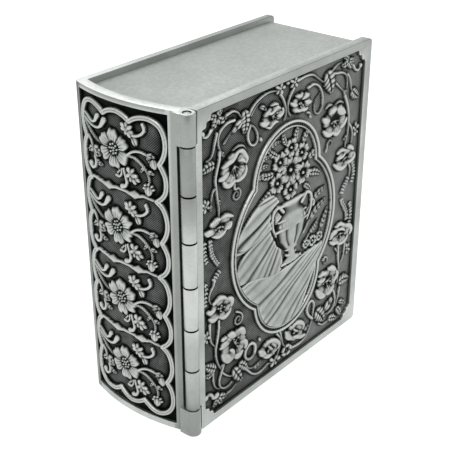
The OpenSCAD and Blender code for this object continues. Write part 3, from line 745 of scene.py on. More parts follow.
def border_vines(p):
    """The stems, drawn quarter by quarter."""
    # upper left
    stem(p, STEM, 0.7, (21.4, 92.3), (23.6, 94.4), (26.6, 95.7), (30.2, 96.2), (34.4, 95.6))
    stem(p, FINE, 0.6, (22.4, 91.8), (24.3, 93.6), (27, 94.9))
    stem(p, STEM, 0.7, (12.2, 95), (14.8, 95.3), (17, 94.3), (18.4, 92.4))
    stem(p, STEM, 0.75, (15.4, 92.7), (12.6, 92.7), (10.2, 91.6), (9, 89.8), (9.1, 87.4), (10.1, 85.4))
    stem(p, STEM, 0.7, (8.4, 91), (7.5, 88.5), (6.8, 86.2), (5.9, 84.9), (4.2, 84.5))
    stem(p, STEM, 0.75, (9.5, 85.4), (9.2, 83.2), (8.3, 80.6), (7.7, 78.2), (7.9, 76.3), (8.3, 73.8),
         (8.7, 71.2), (9.1, 69), (9, 66.8), end=0.85)
    stem(p, FINE + 0.1, 0.65, (8.1, 75.6), (6.9, 75.3), (6.2, 73.6), (5.9, 71))
    stem(p, FINE + 0.1, 0.65, (11.2, 87.3), (12.8, 88.5), (14.4, 89.7), twist=0.5)
    stem(p, 0.9, 0.75, (22.2, 89.2), (21.2, 87.2), (21.3, 85.4), (22.4, 83.5), (24, 82.9), (25.3, 83.9),
         (25.2, 86), (23.8, 88.2), (22, 89.4), end=0.8)
    stem(p, STEM, 0.7, (35.4, 94.2), (36.9, 92), (37.9, 89.6), (38.1, 87.6), (37.4, 86.2), end=0.8)
    tendril(p, 16.5, 70.6, 2, 1.5, 110, FINE + 0.12, 0.65, (15.6, 74.4))
    # upper right
    stem(p, STEM, 0.7, (43.2, 96.1), (47, 96.4), (50.4, 95.9), (53, 94.3), (55.6, 92.4))
    stem(p, 0.85, 0.72, (48.2, 92.6), (51, 92.9), (53.5, 91.8), (55.2, 89.6), (55.9, 87), (55.6, 84.6),
         (54.1, 83.2), (52.5, 83.7), (51.8, 85.3), end=0.8)
    stem(p, FINE + 0.1, 0.6, (51.8, 85.8), (52.2, 87.6), (54.6, 89.4), twist=0.5)
    stem(p, STEM, 0.7, (60.4, 93.6), (63, 93.1), (65.6, 92.6), (67.6, 91.4), (68.5, 89.4), (68.5, 87.2))
    stem(p, FINE + 0.1, 0.62, (59.8, 94.4), (62.4, 95.6), (65.2, 95.9))
    stem(p, STEM, 0.7, (68.4, 91.4), (69.9, 89.4), (70.7, 87), (71.3, 85.2))
    stem(p, STEM * 0.85, 0.66, (62.6, 90), (65, 88), (67.2, 86.2))
    stem(p, STEM, 0.75, (67.6, 84.9), (69.2, 81.6), (70.2, 78.2), (70.4, 75.4), (70.3, 72.6), (69.6, 69.8),
         (69.2, 67.6), end=0.85)
    stem(p, STEM * 0.9, 0.7, (70.5, 75.1), (72.2, 73.1), (73, 70.6), (72.6, 67.4), end=0.8)
    stem(p, STEM, 0.7, (41.4, 94.4), (39.6, 92.2), (38.8, 90), (39.1, 88.2), (40.2, 86.6), end=0.8)
    tendril(p, 60.8, 71.2, 1.5, 1.3, 200, FINE + 0.1, 0.62, (58.8, 69.4))
    # lower left
    stem(p, STEM, 0.75, (8.7, 33.6), (8.6, 30.4), (8, 27.2), (7.3, 24.2), (7.6, 21), (8.5, 18.4),
         (9.5, 16.6), end=0.85)
    stem(p, STEM * 0.9, 0.7, (4.9, 34.2), (4.9, 31), (5.4, 28), (6.9, 25.8), (8, 24.8))
    stem(p, STEM, 0.72, (10.7, 17.2), (9.7, 14.8), (8.8, 12.4), (9.3, 10.1), (10.8, 8.7), (12.7, 8.3),
         (14.6, 8.9))
    stem(p, STEM * 0.9, 0.7, (10.3, 14.6), (12, 12.8), (14, 11.3), (15.4, 11.2))
    stem(p, STEM * 0.85, 0.66, (6.1, 17), (6.2, 14), (6.9, 11.5), (8.3, 9.9), (9.8, 9.6))
    stem(p, STEM, 0.72, (20.6, 10.8), (22.5, 8.4), (24.8, 6.1), (27.6, 4.9), (30.2, 5.2), (32.2, 5.7),
         (34.2, 5))
    stem(p, FINE + 0.1, 0.62, (22, 10), (23.6, 8.8), (25.6, 8.3))
    stem(p, STEM, 0.7, (12.4, 5.9), (14.4, 6), (16.6, 6.8), twist=0.7)
    stem(p, STEM * 0.95, 0.7, (36.6, 14.7), (38.1, 12.6), (38.5, 10.2), (37.7, 8), (36.8, 6.2), end=0.8)
    stem(p, 1.25, 0.85, (25.2, 13.6), (25.7, 15.8), (24.6, 17.6), (22.6, 18), (21, 16.6), (20.9, 14.4),
         (22.3, 12.9), (24.2, 12.8), (25.3, 13.8), end=0.9)
    tendril(p, 17.5, 29.7, 2.1, 1.4, 60, FINE + 0.16, 0.66, (16.6, 32.8))
    # lower right
    stem(p, STEM, 0.75, (68.6, 33.6), (68.7, 30.2), (69.1, 27.4), (69.6, 24.4), (69.5, 21.6), (69.3, 18.6),
         end=0.85)
    stem(p, STEM * 0.9, 0.7, (72.4, 33.4), (72.3, 30.2), (71.9, 27.6), (70.2, 25.2))
    stem(p, STEM * 0.8, 0.66, (67, 32.4), (68.6, 30.4), (70.4, 29.7))
    stem(p, STEM, 0.74, (66.2, 17.6), (67.7, 15.4), (68.4, 12.8), (68.1, 10.6), (66.6, 9.1), (64.4, 8.7),
         (62.2, 9.6))
    stem(p, STEM * 0.9, 0.7, (70.7, 16.2), (70.3, 13.2), (69.7, 11.2), (68.8, 9.4))
    stem(p, STEM, 0.72, (44.2, 5.5), (47.4, 4.9), (50.2, 5), (52.6, 6.1), (54.4, 8.5), (55.6, 10.8))
    stem(p, STEM * 0.85, 0.66, (59.4, 7.2), (61.8, 5.6), (65.2, 5.5))
    stem(p, STEM * 0.95, 0.7, (38.2, 14.6), (39, 12), (39.8, 9.4), (41.2, 7.4), end=0.8)
    stem(p, 1.15, 0.82, (55.5, 11.2), (53.4, 13.4), (52.3, 16), (53.2, 18), (55, 18.2), (56.2, 16.4),
         (55.9, 13.8), (55.5, 11.4), end=0.85)
    tendril(p, 61.5, 30.2, 1.6, 1.2, 150, FINE + 0.14, 0.64)


def side_sprays(p):
    """Seed sprays between the flowers beside the medallion."""
    catkin(p, 1.05, 0.8, (5.3, 61.2), (5.5, 58.6), (6.1, 56.2), (7.3, 54), (8.9, 51.8), pitch=1.1, lean=20)
    catkin(p, 1.05, 0.8, (9.4, 50), (8, 49), (6.8, 47.8), pitch=0.95, lean=60)
    stem(p, STEM * 0.9, 0.7, (6.8, 48.2), (6.6, 46.4), (5.2, 44.6), (4.7, 42.6), (5.6, 40.6))
    catkin(p, 0.95, 0.75, (3.2, 61.4), (3, 59), (3.2, 56.8), (3.8, 54.6), pitch=1.2, lean=48)
    catkin(p, 0.95, 0.75, (3.1, 48.4), (3.5, 46.4), (3.1, 43.8), (3, 41.2), pitch=1.3, lean=24)
    stem(p, STEM * 0.9, 0.7, (71.6, 61.4), (72.7, 59.4), (72.9, 57.6), (72.2, 56.2))
    catkin(p, 1.1, 0.8, (72.2, 56.4), (70.8, 54.8), (69.3, 53), (68.5, 51.2), pitch=1, lean=52)
    catkin(p, 1.1, 0.8, (68.8, 50), (69.5, 48.2), (70.8, 46.2), (72.2, 43.6), (72.4, 40.8), pitch=1.25,
           lean=16)
    catkin(p, 1, 0.75, (73.9, 61.2), (74.8, 58.8), (75.1, 56.4), (74.2, 53.8), pitch=1.15, lean=44)
    catkin(p, 1, 0.75, (73.8, 47), (74.6, 44.4), (74.8, 42), (74.2, 39.6), pitch=1.15, lean=44)


# ---------------------------------------------------------------- medallion

URN_U = 42.4


def medallion_scene(p):
    """A tall urn with a bouquet on a table, under a shawl and a cloth that fall in pleats."""
    # shawl behind the urn and its upper fold
    cloth(p, ((16.6, 41), (16.2, 45.5), (19, 49.4), (24, 52.2), (30, 54), (35, 54.6), (36.6, 50),
              (37.5, 44), (38, 38.4), (34, 37), (27, 38.2), (21, 40.2)), (44, 58.5), 8, height=0.84,
          depth=0.34)
    cloth(p, ((15.4, 52.6), (17, 56.6), (21.5, 60.6), (26.5, 64), (31, 65.2), (34.6, 63.2), (36.4, 59.4),
              (36.4, 56.2), (31.6, 54.2), (25.5, 52.8), (20.5, 51.6)), (44, 64.5), 6, height=0.97, depth=0.5)
    stem(p, 1.4, 0.97, (36.6, 56.2), (31.5, 54.2), (25, 52.6), (19.5, 51.5), (15.4, 51.9), end=1.0)
    # cloth over the table, its pleats gathered at the right
    cloth(p, ((17.6, 39.6), (22, 40.2), (26.5, 39.4), (31, 38), (36, 37.3), (44, 37.7), (52, 38.5),
              (58.8, 38.8), (57.4, 35.4), (55.2, 31.6), (52.8, 27.6), (50.2, 22.8), (47.4, 18.2), (44, 15.6),
              (38, 15), (31, 16.6), (26.5, 19.6), (24.4, 24.6), (21.6, 28.4), (18.6, 32), (16.9, 36)),
          (72, 46), 10, height=0.98)
    stem(p, 0.9, 1.0, (18.4, 39.4), (22, 40.1), (26.5, 39.3), (31, 37.9), (36, 37.2), (44, 37.6), (52, 38.4),
         (58.6, 38.7), end=0.8)
    fold(p, 1.5, (57.2, 35.8), (55, 31.8), (52.5, 27.8), (49.8, 23), (47, 18.4), height=1.0)
    # urn: foot, stem, fluted bowl, neck and lip
    cut, uu, vv = p.window(URN_U - 12, URN_U + 12, 37.5, 62.5)
    shape_v = [38.6, 39.6, 40.3, 41.6, 42.8, 44.2, 47.2, 50.6, 53.6, 55.4, 56.8, 58, 59, 59.6]
    shape_r = [4.8, 4.7, 2.7, 1.9, 1.8, 3.6, 6.9, 8, 7.5, 5.7, 4.3, 4.5, 6.2, 6.3]
    half = np.interp(vv, shape_v, shape_r)
    across = np.clip((uu - URN_U) / half, -1, 1)
    flute = 0.5 + 0.5 * np.abs(np.cos(np.arcsin(across) * 4.5)) ** 0.7
    bowl = smooth(vv, 43.8, 45.0) * (1 - smooth(vv, 50.2, 50.9))
    neck = smooth(vv, 54.4, 56.4) * (1 - smooth(vv, 57.4, 59))
    body = np.sqrt(np.clip(1 - np.abs(across) ** 2.2, 0, 1)) * (1 - bowl + bowl * flute) * (1 - 0.3 * neck)
    # a hollow round the urn and its handles parts them from the shawl
    p.h[cut][(np.abs(uu - URN_U) < half + 0.9) & (vv > 38.4) & (vv < 60.6)] = 0
    handles = [((URN_U + s * 4.6, 57.2), (URN_U + s * 7, 59.4), (URN_U + s * 9.4, 57.8),
                (URN_U + s * 9.4, 53.8), (URN_U + s * 7.8, 50.2)) for s in (-1, 1)]
    for points in handles:
        near, dist, run, side, total = p.along(route(points), 1.6)
        p.h[near][dist < 1.4] = 0
    within = (np.abs(uu - URN_U) < half) & (vv > 38.6) & (vv < 59.6)
    p.lift(cut, np.where(within, 0.96 * body, 0))
    for v, r, w in ((39.1, 4.9, 1.1), (41.5, 2.3, 0.9), (43.4, 2.6, 0.7), (51.3, 8.2, 1), (54.3, 7, 0.7),
                    (59.2, 6.6, 1.2)):
        stem(p, w, 1.0, (URN_U - r, v), (URN_U, v - 0.3), (URN_U + r, v), end=1.0)
    for k in range(-4, 5):
        knob(p, URN_U + 1.5 * k, 52.8 - 0.01 * k * k, 1.1, 1.7, 1.0)
    for s in (-1, 1):
        stem(p, 1.3, 0.98, *handles[(s + 1) // 2], end=0.75)
        scroll(p, 0.8, 0.95, (URN_U + s * 9.2, 56.4), (URN_U + s * 10.8, 55.4), (URN_U + s * 10.6, 54))
    # leaves and flowers of the bouquet
    for u, v, a, length, w in ((33, 66.5, 200, 7, 3), (50, 65.5, -22, 7.5, 3), (33, 71, 168, 7, 2.8),
                               (49.6, 70.4, 12, 7, 2.8), (34.4, 76, 140, 6.5, 2.6),
                               (46.6, 76.4, 46, 6.5, 2.6), (38.6, 78.2, 108, 5, 2.3), (43, 78.2, 72, 5, 2.3),
                               (48, 62.4, -48, 5.4, 2.4)):
        c, s = math.cos(math.radians(a)), math.sin(math.radians(a))
        leaf(p, w, 0.85, (u, v), (u + 0.5 * length * c - 0.5 * s, v + 0.5 * length * s + 0.5 * c),
             (u + length * c, v + length * s), ribs=5)
    for u, v, r, n, turn in ((41, 69.6, 5, 6, 12), (34.8, 67.4, 3.9, 5, 40), (47.2, 66.6, 4.1, 5, 4),
                             (35.8, 73.6, 3.6, 5, 20), (46.2, 73.4, 3.6, 5, 56), (41.2, 63.2, 3.7, 6, 30),
                             (41, 76.6, 3.4, 5, 18)):
        petals(p, u, v, r, r * 0.92, 0.86, count=n, turn=turn, lean=(0, 0.05), folds=0.45, throat=0.26,
               notch=0.26, ruffle=0.05, rise=0.6)
        knob(p, u, v, 0.3 * r, 0.28 * r, 0.8)
    # drifting leaves: a bank at the upper left and three on the right
    for a, b, c, w in (((24, 71.4), (27.5, 72.2), (31, 71.8), 1.9), ((24.6, 73.8), (28, 74.8), (31.4, 74.2),
                                                                     1.9),
                       ((26.2, 76.4), (29.2, 77.2), (32, 76.6), 1.7), ((29.8, 79.4), (33.4, 80.2),
                                                                       (36.6, 79.9), 1.6),
                       ((52, 54.6), (55.4, 56.8), (59.8, 57.8), 2.6), ((51.8, 49.2), (55.2, 51.8),
                                                                       (60.4, 53.6), 2.9),
                       ((57.6, 43.8), (59.4, 46.8), (61.4, 50.4), 2.5), ((52, 44.4), (54.4, 45.8),
                                                                         (56.4, 47.8), 1.9)):
        leaf(p, w, 0.8, a, b, c, ribs=5)
        stem(p, 0.5, 0.7, (2 * a[0] - b[0], 2 * a[1] - b[1] - 0.6), a, end=1.0)
    for u, v, r in ((53.4, 41.2, 2.1), (57, 41.4, 1.8), (50, 41.4, 1.7)):
        petals(p, u, v, r, r, 0.95, count=5, folds=0.2)
        knob(p, u, v, 0.9, 0.9, 0.9)


# ---------------------------------------------------------------- spine ornament
# Points are (y, z) on the spine's topmost panel; the same panel repeats down the spine.

PANEL_PITCH = 22.95
RIB = 1.7


def rib(p, *points, width=RIB, height=0.98):
    """A rib along a line, with two raised edges and a groove between them."""
    cut, dist, run, side, total = p.along(route(points), width)
    q = dist / (width / 2)
    edge = 0.62 + 0.38 * np.sin(np.pi * np.clip(q, 0, 1)) ** 0.8
    p.lift(cut, np.where(q < 1, height * edge * round_top(q ** 1.6), 0))


def lozenge(p, u, v, length, width, height):
    """A diamond with hollow sides and a ridge along it."""
    cut, uu, vv = p.window(u - length / 2, u + length / 2, v - width / 2, v + width / 2)
    x, y = np.abs(uu - u) / (length / 2), np.abs(vv - v) / (width / 2)
    q = x ** 0.95 + y ** 0.95
    p.lift(cut, np.where(q < 1, height * (0.62 + 0.38 * (1 - y) ** 1.4) * round_top(q ** 1.5), 0))


def spine_ribs(p, drop, first, last):
    """The lobed outline of one panel with the divider at its foot."""
    def at(*points):
        return [(u, v - drop) for u, v in points]
    fore_side = ((7.1, 91.4), (7, 89.5), (7.25, 87.7), (7.9, 85.9), (8.8, 84.4))
    rear_side = ((37.5, 91), (37.4, 88.8), (36.9, 87), (36, 85.3))
    if first:
        rib(p, *at((17.9, 94.5), (16.3, 95.5), (14.3, 96.2), (12.2, 96.4), (10.2, 95.9), (8.6, 94.9),
                   (7.6, 93.3), *fore_side))
        rib(p, *at((27.7, 94.5), (26.1, 95.5), (24.3, 96.1), (22.5, 96.3), (20.8, 96), (19.1, 95.3),
                   (17.9, 94.5)))
        rib(p, *at((27.7, 94.5), (29.3, 95.5), (31.1, 96.2), (32.9, 96.5), (34.7, 96.2), (36.1, 95.2),
                   (37.1, 93.3), *rear_side))
    else:
        rib(p, *at((9.9, 96.4), (8.5, 95.2), (7.6, 93.5), *fore_side))
        rib(p, *at((35, 96.5), (36.3, 95.3), (37.1, 93.4), *rear_side))
    if last:
        rib(p, *at((8.8, 84.3), (7.7, 82.5), (7.1, 80.3), (7, 78.1), (7.4, 76), (8.6, 74), (10.4, 72.8),
                   (12.2, 72.4), (14, 72.8), (15.4, 73.7), (17.2, 75)))
        rib(p, *at((17.2, 75), (18.6, 74), (20.4, 73.2), (22.5, 72.9), (24.3, 73.4), (25.8, 74.3),
                   (27, 75.2)))
        rib(p, *at((36, 85.2), (36.9, 83.2), (37.4, 81), (37.5, 78.5), (37.2, 76.4), (36.1, 74.5),
                   (34.3, 73.3), (32.2, 73), (30, 73.3), (28.3, 74.2), (27, 75.2)))
        return
    rib(p, *at((8.8, 84.3), (7.9, 82.7), (7.2, 80.9), (7, 78.8), (7.3, 76.6), (8.3, 74.9), (9.9, 73.5)))
    rib(p, *at((36, 85.3), (36.9, 84.2), (37.5, 82.4), (37.7, 80.2), (37.6, 78), (37.2, 76.2), (36.4, 74.7),
               (35, 73.6)))
    stem(p, 1, 0.9, *at((35.4, 73.6), (33.6, 74.2), (31.5, 74.1), (27, 73.7), (23.8, 74), (20.4, 74),
                          (17.2, 73.6), (14.3, 74), (12.2, 73.7), (9.6, 73.3)), end=1.0)
    for u in (17.2, 27.0):
        lozenge(p, u, 73.7 - drop, 6.6, 3.1, 1.0)


def spine_panel(p, drop):
    """What fills one lobed panel of the spine, shifted down by drop."""
    def at(*points):
        return [(u, v - drop) for u, v in points]
    # six ruffled petals round a beaded eye
    eye_u, eye_v = 24.3, 85.2 - drop
    petals(p, eye_u, eye_v, 6.2, 5.9, 1.0, count=6, turn=-3, folds=0.4, throat=0.26, notch=0.26, ruffle=0.04,
           rise=0.5)
    for k in range(8):
        a = math.radians(45 * k)
        knob(p, eye_u + 1.4 * math.cos(a), eye_v + 1.4 * math.sin(a), 0.8, 0.8, 0.8)
    for k in range(3):
        a = math.radians(120 * k + 20)
        knob(p, eye_u + 0.5 * math.cos(a), eye_v + 0.5 * math.sin(a), 0.75, 0.75, 0.85)
    # scrolls and rope that run in from the rear side
    stem(p, 1.25, 0.85, *at((36.6, 90.6), (35.9, 89.6), (34.7, 88.1), (32.9, 86.7), (31.1, 85.8),
                            (29.4, 85.5)),
         end=1.0, twist=0.8)
    scroll(p, 1, 0.9, *at((36.7, 90.9), (34.7, 90), (32.9, 89.4), (30.8, 89.4), (29.2, 90.2), (28.2, 91.5),
                            (27.6, 92.4)), tip=2.0)
    scroll(p, 1, 0.9, *at((36.6, 92.3), (35.2, 91.6), (33.8, 90.8), (32.6, 90.6), (31.5, 91.2), (30.9, 92.2),
                            (30.5, 92.8)), tip=1.7)
    # leaf spray and comma below them
    stem(p, 0.9, 0.75, *at((35.4, 85.9), (34.2, 84.6), (33.5, 82.8), (32.8, 81.2), (32.5, 79.6)), end=1.0)
    leaf(p, 2.4, 0.9, *at((33.4, 83), (34.4, 82.2), (35.9, 81.3)), ribs=2, saw=0.05)
    leaf(p, 2.6, 0.95, *at((33, 83.6), (31.6, 82.8), (29.9, 82.3)), ribs=2, saw=0.05)
    leaf(p, 2, 0.9, *at((33, 82.2), (31.4, 81.4), (29.6, 81.8)), ribs=2, saw=0.05)
    leaf(p, 1.8, 0.85, *at((32.3, 79.9), (31, 79), (29, 78.7)), ribs=3)
    scroll(p, 1.1, 0.92, *at((32.6, 80.6), (32.2, 78.9), (32.8, 77.4), (34, 76.9), (34.9, 77.7)), tip=1.8)
    # bunch of leaflets, a scroll and a bud above the front petals
    cluster(p, 1.45, 0.92, *at((19, 92), (20.2, 92.9), (19, 93.3), (17.9, 92.7), (17.5, 91.5), (18.1, 90.7),
                               (19.2, 91.2), (20, 92)))
    scroll(p, 1.2, 0.88, *at((17, 90.7), (15.6, 90.9), (14.2, 91.6), (13.2, 92.7), (13.2, 93.7),
                             (13.6, 94.5)),
           tip=0.9)
    leaf(p, 2.6, 0.95, *at((17.4, 90.7), (16.5, 89.4), (15.9, 87.7)), ribs=1, saw=0.0)
    # two buds on stems towards the front
    stem(p, 0.95, 0.85, *at((19, 84.9), (17.2, 86.1), (15, 86.6), (12.9, 86.2), (11.5, 85.7)), end=0.9)
    leaf(p, 1.5, 0.85, *at((12.9, 86.3), (11.4, 86.2), (10, 85.7)), ribs=2)
    leaf(p, 1.3, 0.8, *at((12.7, 86), (12.1, 85), (11.9, 83.9)), ribs=2)
    bud(p, *at((11, 85.3), (10.2, 82.6)), 2.5, 0.98)
    stem(p, 0.95, 0.85, *at((19, 84.7), (16.8, 84.5), (15, 83.5), (13.3, 82), (12.4, 80.5), (12.2, 78.8),
                            (12.4, 77.4)), end=0.95, twist=0.7)
    leaf(p, 1.3, 0.8, *at((13.6, 82.6), (14.3, 81.6), (14.9, 80.6)), ribs=2)
    leaf(p, 1.4, 0.85, *at((12.7, 81.8), (11.6, 81.3), (10.4, 81)), ribs=2)
    for u, v in ((13.5, 77.5), (11.4, 77.5), (12.4, 77.9), (13.9, 76.6), (11, 76.6)):
        knob(p, u, v - drop, 1, 0.8, 0.85)
    bud(p, *at((12.5, 77.3), (12.5, 74.5)), 2.7, 0.98)
    # leaf bunch and curls under the flower
    cluster(p, 1.4, 0.92, *at((18.3, 79.5), (18.9, 80.5), (17.7, 80.4), (16.8, 79.3), (16, 78.3), (17, 77.6),
                              (18.3, 78), (19.1, 78.9), (17.5, 79)))
    scroll(p, 1, 0.9, *at((20.7, 80.4), (20.1, 78.6), (19.7, 76.9), (20.2, 75.6), (21.5, 75.1)), tip=1.7)
    scroll(p, 0.85, 0.85, *at((21.4, 80.2), (21.4, 79), (22.2, 77.8), (23.4, 77.9)), tip=1.2)
    knob(p, 22.2, 79.5 - drop, 0.9, 0.8, 0.8)
    knob(p, 22.8, 78.9 - drop, 0.9, 0.8, 0.8)


# ---------------------------------------------------------------- outlines

# the front's sunk field: left, right, foot, head and the size of its corner steps
FIELD = (1.95, 77.05, 2.45, 97.6)
STEP = 1.75
STEP_ROUND = 0.85
# the medallion's four lobes, each a circle with its centre and radius
MED_X = 39.35
MED_Z = 50.0
LOBES = ((MED_X, MED_Z, 25.5), (MED_X, 69.0, 16.2), (40.9, 31.4, 16.6))


def stepped_outline():
    """Outline of the front's sunk field: a rectangle with three rounded steps in each corner."""
    x0, x1, z0, z1 = FIELD
    corner = [(0, 2 * STEP), (STEP, 2 * STEP), (STEP, STEP), (2 * STEP, STEP), (2 * STEP, 0)]
    loop = []
    for cx, cz, sx, sz in ((x0, z0, 1, 1), (x1, z0, -1, 1), (x1, z1, -1, -1), (x0, z1, 1, -1)):
        loop += [Vector((cx + sx * u, cz + sz * v)) for u, v in corner[::sx * sz]]
    rounded = []
    for i, p in enumerate(loop):
        to_a, to_b = loop[i - 1] - p, loop[(i + 1) % len(loop)] - p
        reach = min(STEP_ROUND, 0.49 * to_a.length, 0.49 * to_b.length)
        a, b = p + to_a.normalized() * reach, p + to_b.normalized() * reach
        for t in (0, 0.2, 0.4, 0.6, 0.8, 1):
            q = (1 - t) ** 2 * a + 2 * t * (1 - t) * p + t ** 2 * b
            rounded.append((q.x, q.y))
    return rounded


def inside_stepped(u, v, grow):
    """Whether map points lie in the front's sunk field."""
    x0, x1, z0, z1 = FIELD
    found = np.zeros(u.shape, bool)
    for k, m in ((0, 2), (1, 1), (2, 0)):
        found |= ((u > x0 - grow + k * STEP) & (u < x1 + grow - k * STEP)
                  & (v > z0 - grow + m * STEP) & (v < z1 + grow - m * STEP))
    return found


def medallion_depth(u, v):
    """Distance inside the medallion's lobed outline, negative outside."""
    return np.max([r - np.hypot(u - x, v - z) for x, z, r in LOBES], axis=0)


def cover_outline(x0, x1, notch=None):
    """A cover plate's face, with its two fore-edge corners rounded and room beside the knuckles."""
    r = COVER_CORNER
    loop = arc(x1 - r, r, r, -90, 0, 8) + arc(x1 - r, BOOK_H - r, r, 0, 90, 8)
    if notch is None:
        return loop + [(x0, BOOK_H), (x0, 0)]
    return loop + [(notch, BOOK_H), (notch, BARREL_HI), (x0, BARREL_HI), (x0, BARREL_LO), (notch, BARREL_LO),
                   (notch, 0)]


# ---------------------------------------------------------------- covers, spine and hinge

def lid_shade(x, y, z):
    """How much painted shade darkens the lid's frame at a point."""
    # painted shade: the sunk field's walls darken towards their foot, and so does the side beside the barrel
    if 0.3 < y < 1.85 and 1.0 < x < 78.4 and 1.6 < z < 98.4:
        return 0.25 + 0.3 * y
    if x < 0.3 and y > 0.4:
        return 0.9
    # painted shade: the head of the face is darker, and the rounded edge over it darker still
    if z > 97.0 and y < 0.3:
        return 0.42 if z > BOOK_H - 0.17 and 0.01 < y < 0.07 else 0.085
    return 0.0


def build_lid_shell():
    """The front cover's frame with the hinge barrel."""
    lid = prism("lid_frame", cover_outline(HINGE_X + 0.3, COVER_W, notch=0.35), 0.0, COVER_T)
    boolean(lid, prism("pocket", stepped_outline(), -1.0, 1.8))
    bevel(lid, 0.26)
    frame_wear_and_painted_light(lid, 0.83, 0.02, lid_shade)
    r = BARREL_R
    groove = ((0, -0.34), (0.06, -0.22), (0.36, -0.1), (0.36, 0.1), (0.06, 0.2), (0, 0.3))
    profile = [(1.15, BARREL_LO), (r - 0.2, BARREL_LO), (r, BARREL_LO + 0.2)]
    for k in range(1, 6):
        z = BARREL_LO + k * (BARREL_HI - BARREL_LO) / 6
        profile += [(r - deep, z + up) for deep, up in groove]
    profile += [(r, BARREL_HI - 0.2), (r - 0.2, BARREL_HI), (1.15, BARREL_HI)]
    barrel = lathe("lid_barrel", profile, smooth_angle=60)
    # painted light and shade on the barrel: lighter at the middle of its height and darker towards the head,
    # near black in its grooves, inner faces and on its side towards the spine
    values = []
    for x, y, z in book_points(barrel):
        x, y = x - HINGE_X, y - HINGE_Y
        tone = np.interp(z, (5, 20, 45, 65, 78, 95), (0.79, 0.81, 0.93, 0.87, 0.70, 0.65))
        values.append(tone if math.hypot(x, y) > r - 0.05 and y < 0.8 * r else 0.02)
    point_attribute(barrel, values)
    return lid, barrel


def case_section():
    """The spine's wall and the back cover as one outline from above."""
    outer = spine_arc(SPINE_R, SPINE_Y, BOOK_D - 1.25, 56)
    u, v = outer[-1]
    rounding = [(u + 0.14, v + 0.42), (u + 0.42, v + 0.82), (u + 0.86, v + 1.12), (u + 1.4, BOOK_D)]
    back = [(20.0, BOOK_D), (20.0, BACK_Y)]
    return outer + rounding + back + spine_arc(SPINE_R - SPINE_T, BACK_Y, SPINE_Y, 56)


def case_shade(x, y, z):
    """How much darker the spine and the back cover are at a point, or lighter where the value is negative.
    """
    r = math.hypot(x - SPINE_CX, y - SPINE_CY)
    # painted shade on the sunk panel's walls, and on the side towards the barrel
    if x < 8 and SPINE_R - 1.9 < r < SPINE_R - 0.25 and 1.7 < z < 98.9 and 5.7 < y < 38.7:
        return 0.25 + 0.3 * (SPINE_R - r)
    if y < SPINE_Y + 0.05 and BARREL_LO - 0.3 < z < BARREL_HI + 0.3:
        return 0.75
    # painted light on the strip beside the hinge, painted shade on the spine's rim at the head, and a darker
    # upper edge of the back cover
    if x < 4 and y < POCKET_Y[0] + 0.35 and r > SPINE_R - 0.35 and z < 99.95:
        return (-0.06 if z < 50 else -0.2) + (0.0 if y > 5.0 else 0.1)
    if x < 8 and 98.9 < z < 99.95 and r > SPINE_R - 0.2:
        return 0.14
    return 0.27 if z > 99.9 and y > 37.0 and x > 4.0 else 0.0


def build_case_shell():
    """The spine's wall and the back cover, with the spine's sunk field."""
    shell = prism("case_frame", case_section(), 0.0, BOOK_H, axis="z")
    boolean(shell, prism("back_plate", cover_outline(19.0, BACK_X), BACK_Y, BOOK_D), "UNION")
    sunk = spine_arc(SPINE_R + 2, *POCKET_Y, 48) + spine_arc(SPINE_R - 1.8, *POCKET_Y[::-1], 48)
    boolean(shell, prism("pocket", sunk, *POCKET_Z, axis="z"))
    weld(shell)
    bevel(shell, 0.3)
    # the top faces are painted 0.29 lighter, as light from above would make them
    frame_wear_and_painted_light(shell, 0.655, 0.29, case_shade)
    return shell


def build_knuckle(name, z, stained):
    """An end knuckle on the hinge's axis, and the web that joins it to the spine."""
    r, lip, z1 = KNUCKLE_R, 0.3, z + KNUCKLE_H
    profile = [(BORE_R, z), (r - lip, z), (r - 0.09, z + 0.09), (r, z + lip), (r, z1 - 2.6), (r, z1 - 1.6),
               (r, z1 - 0.8), (r, z1 - lip), (r - 0.09, z1 - 0.09), (r - lip, z1), (BORE_R + 0.12, z1),
               (BORE_R, z1 - 0.12)]
    knuckle = lathe(name, profile, smooth_angle=50)
    values = []
    for x, y, height in book_points(knuckle):
        x, y = x - HINGE_X, y - HINGE_Y
        drop = z1 - height
        # painted light: the top face is lighter than the sides
        tone = 0.9 if height > z1 - 0.05 else 0.73
        # a stain below the pin, on the side between the two faces
        if stained and 0.3 < drop < 3.0 and math.hypot(x, y) > r - 0.05:
            tone -= 0.22 * math.exp(-((math.atan2(y, x) + 2.35) / 0.35) ** 2) * (1 - drop / 3.0)
        # painted shade: near black inside the bore
        values.append(0.05 if math.hypot(x, y) < BORE_R + 0.05 else tone)
    point_attribute(knuckle, values)
    x0, x1, y0, y1 = HINGE_X - r, HINGE_X + r, HINGE_Y + 0.5, 4.3
    web = prism(name + "_web", [(x0, y0), (x1, y0), (x1, y1), (x0, y1)], z + 0.02, z1 - 0.02, axis="z")
    bore = [(0.01, z - 1), (BORE_R + 0.3, z - 1), (BORE_R + 0.3, z1 + 1), (0.01, z1 + 1)]
    boolean(web, lathe("bore", bore, steps=48))
    bevel(web, 0.28)
    frame_wear_and_painted_light(web, 0.73)
    return knuckle, web


def build_pin():
    """The hinge pin with its two rounded ends."""
    end = [(0.01, 0.12), (0.6, 0.14), (0.86, 0.2), (PIN_R, 0.34)]
    return lathe("pin", end + [(r, BOOK_H - z) for r, z in end[::-1]], smooth_angle=40)


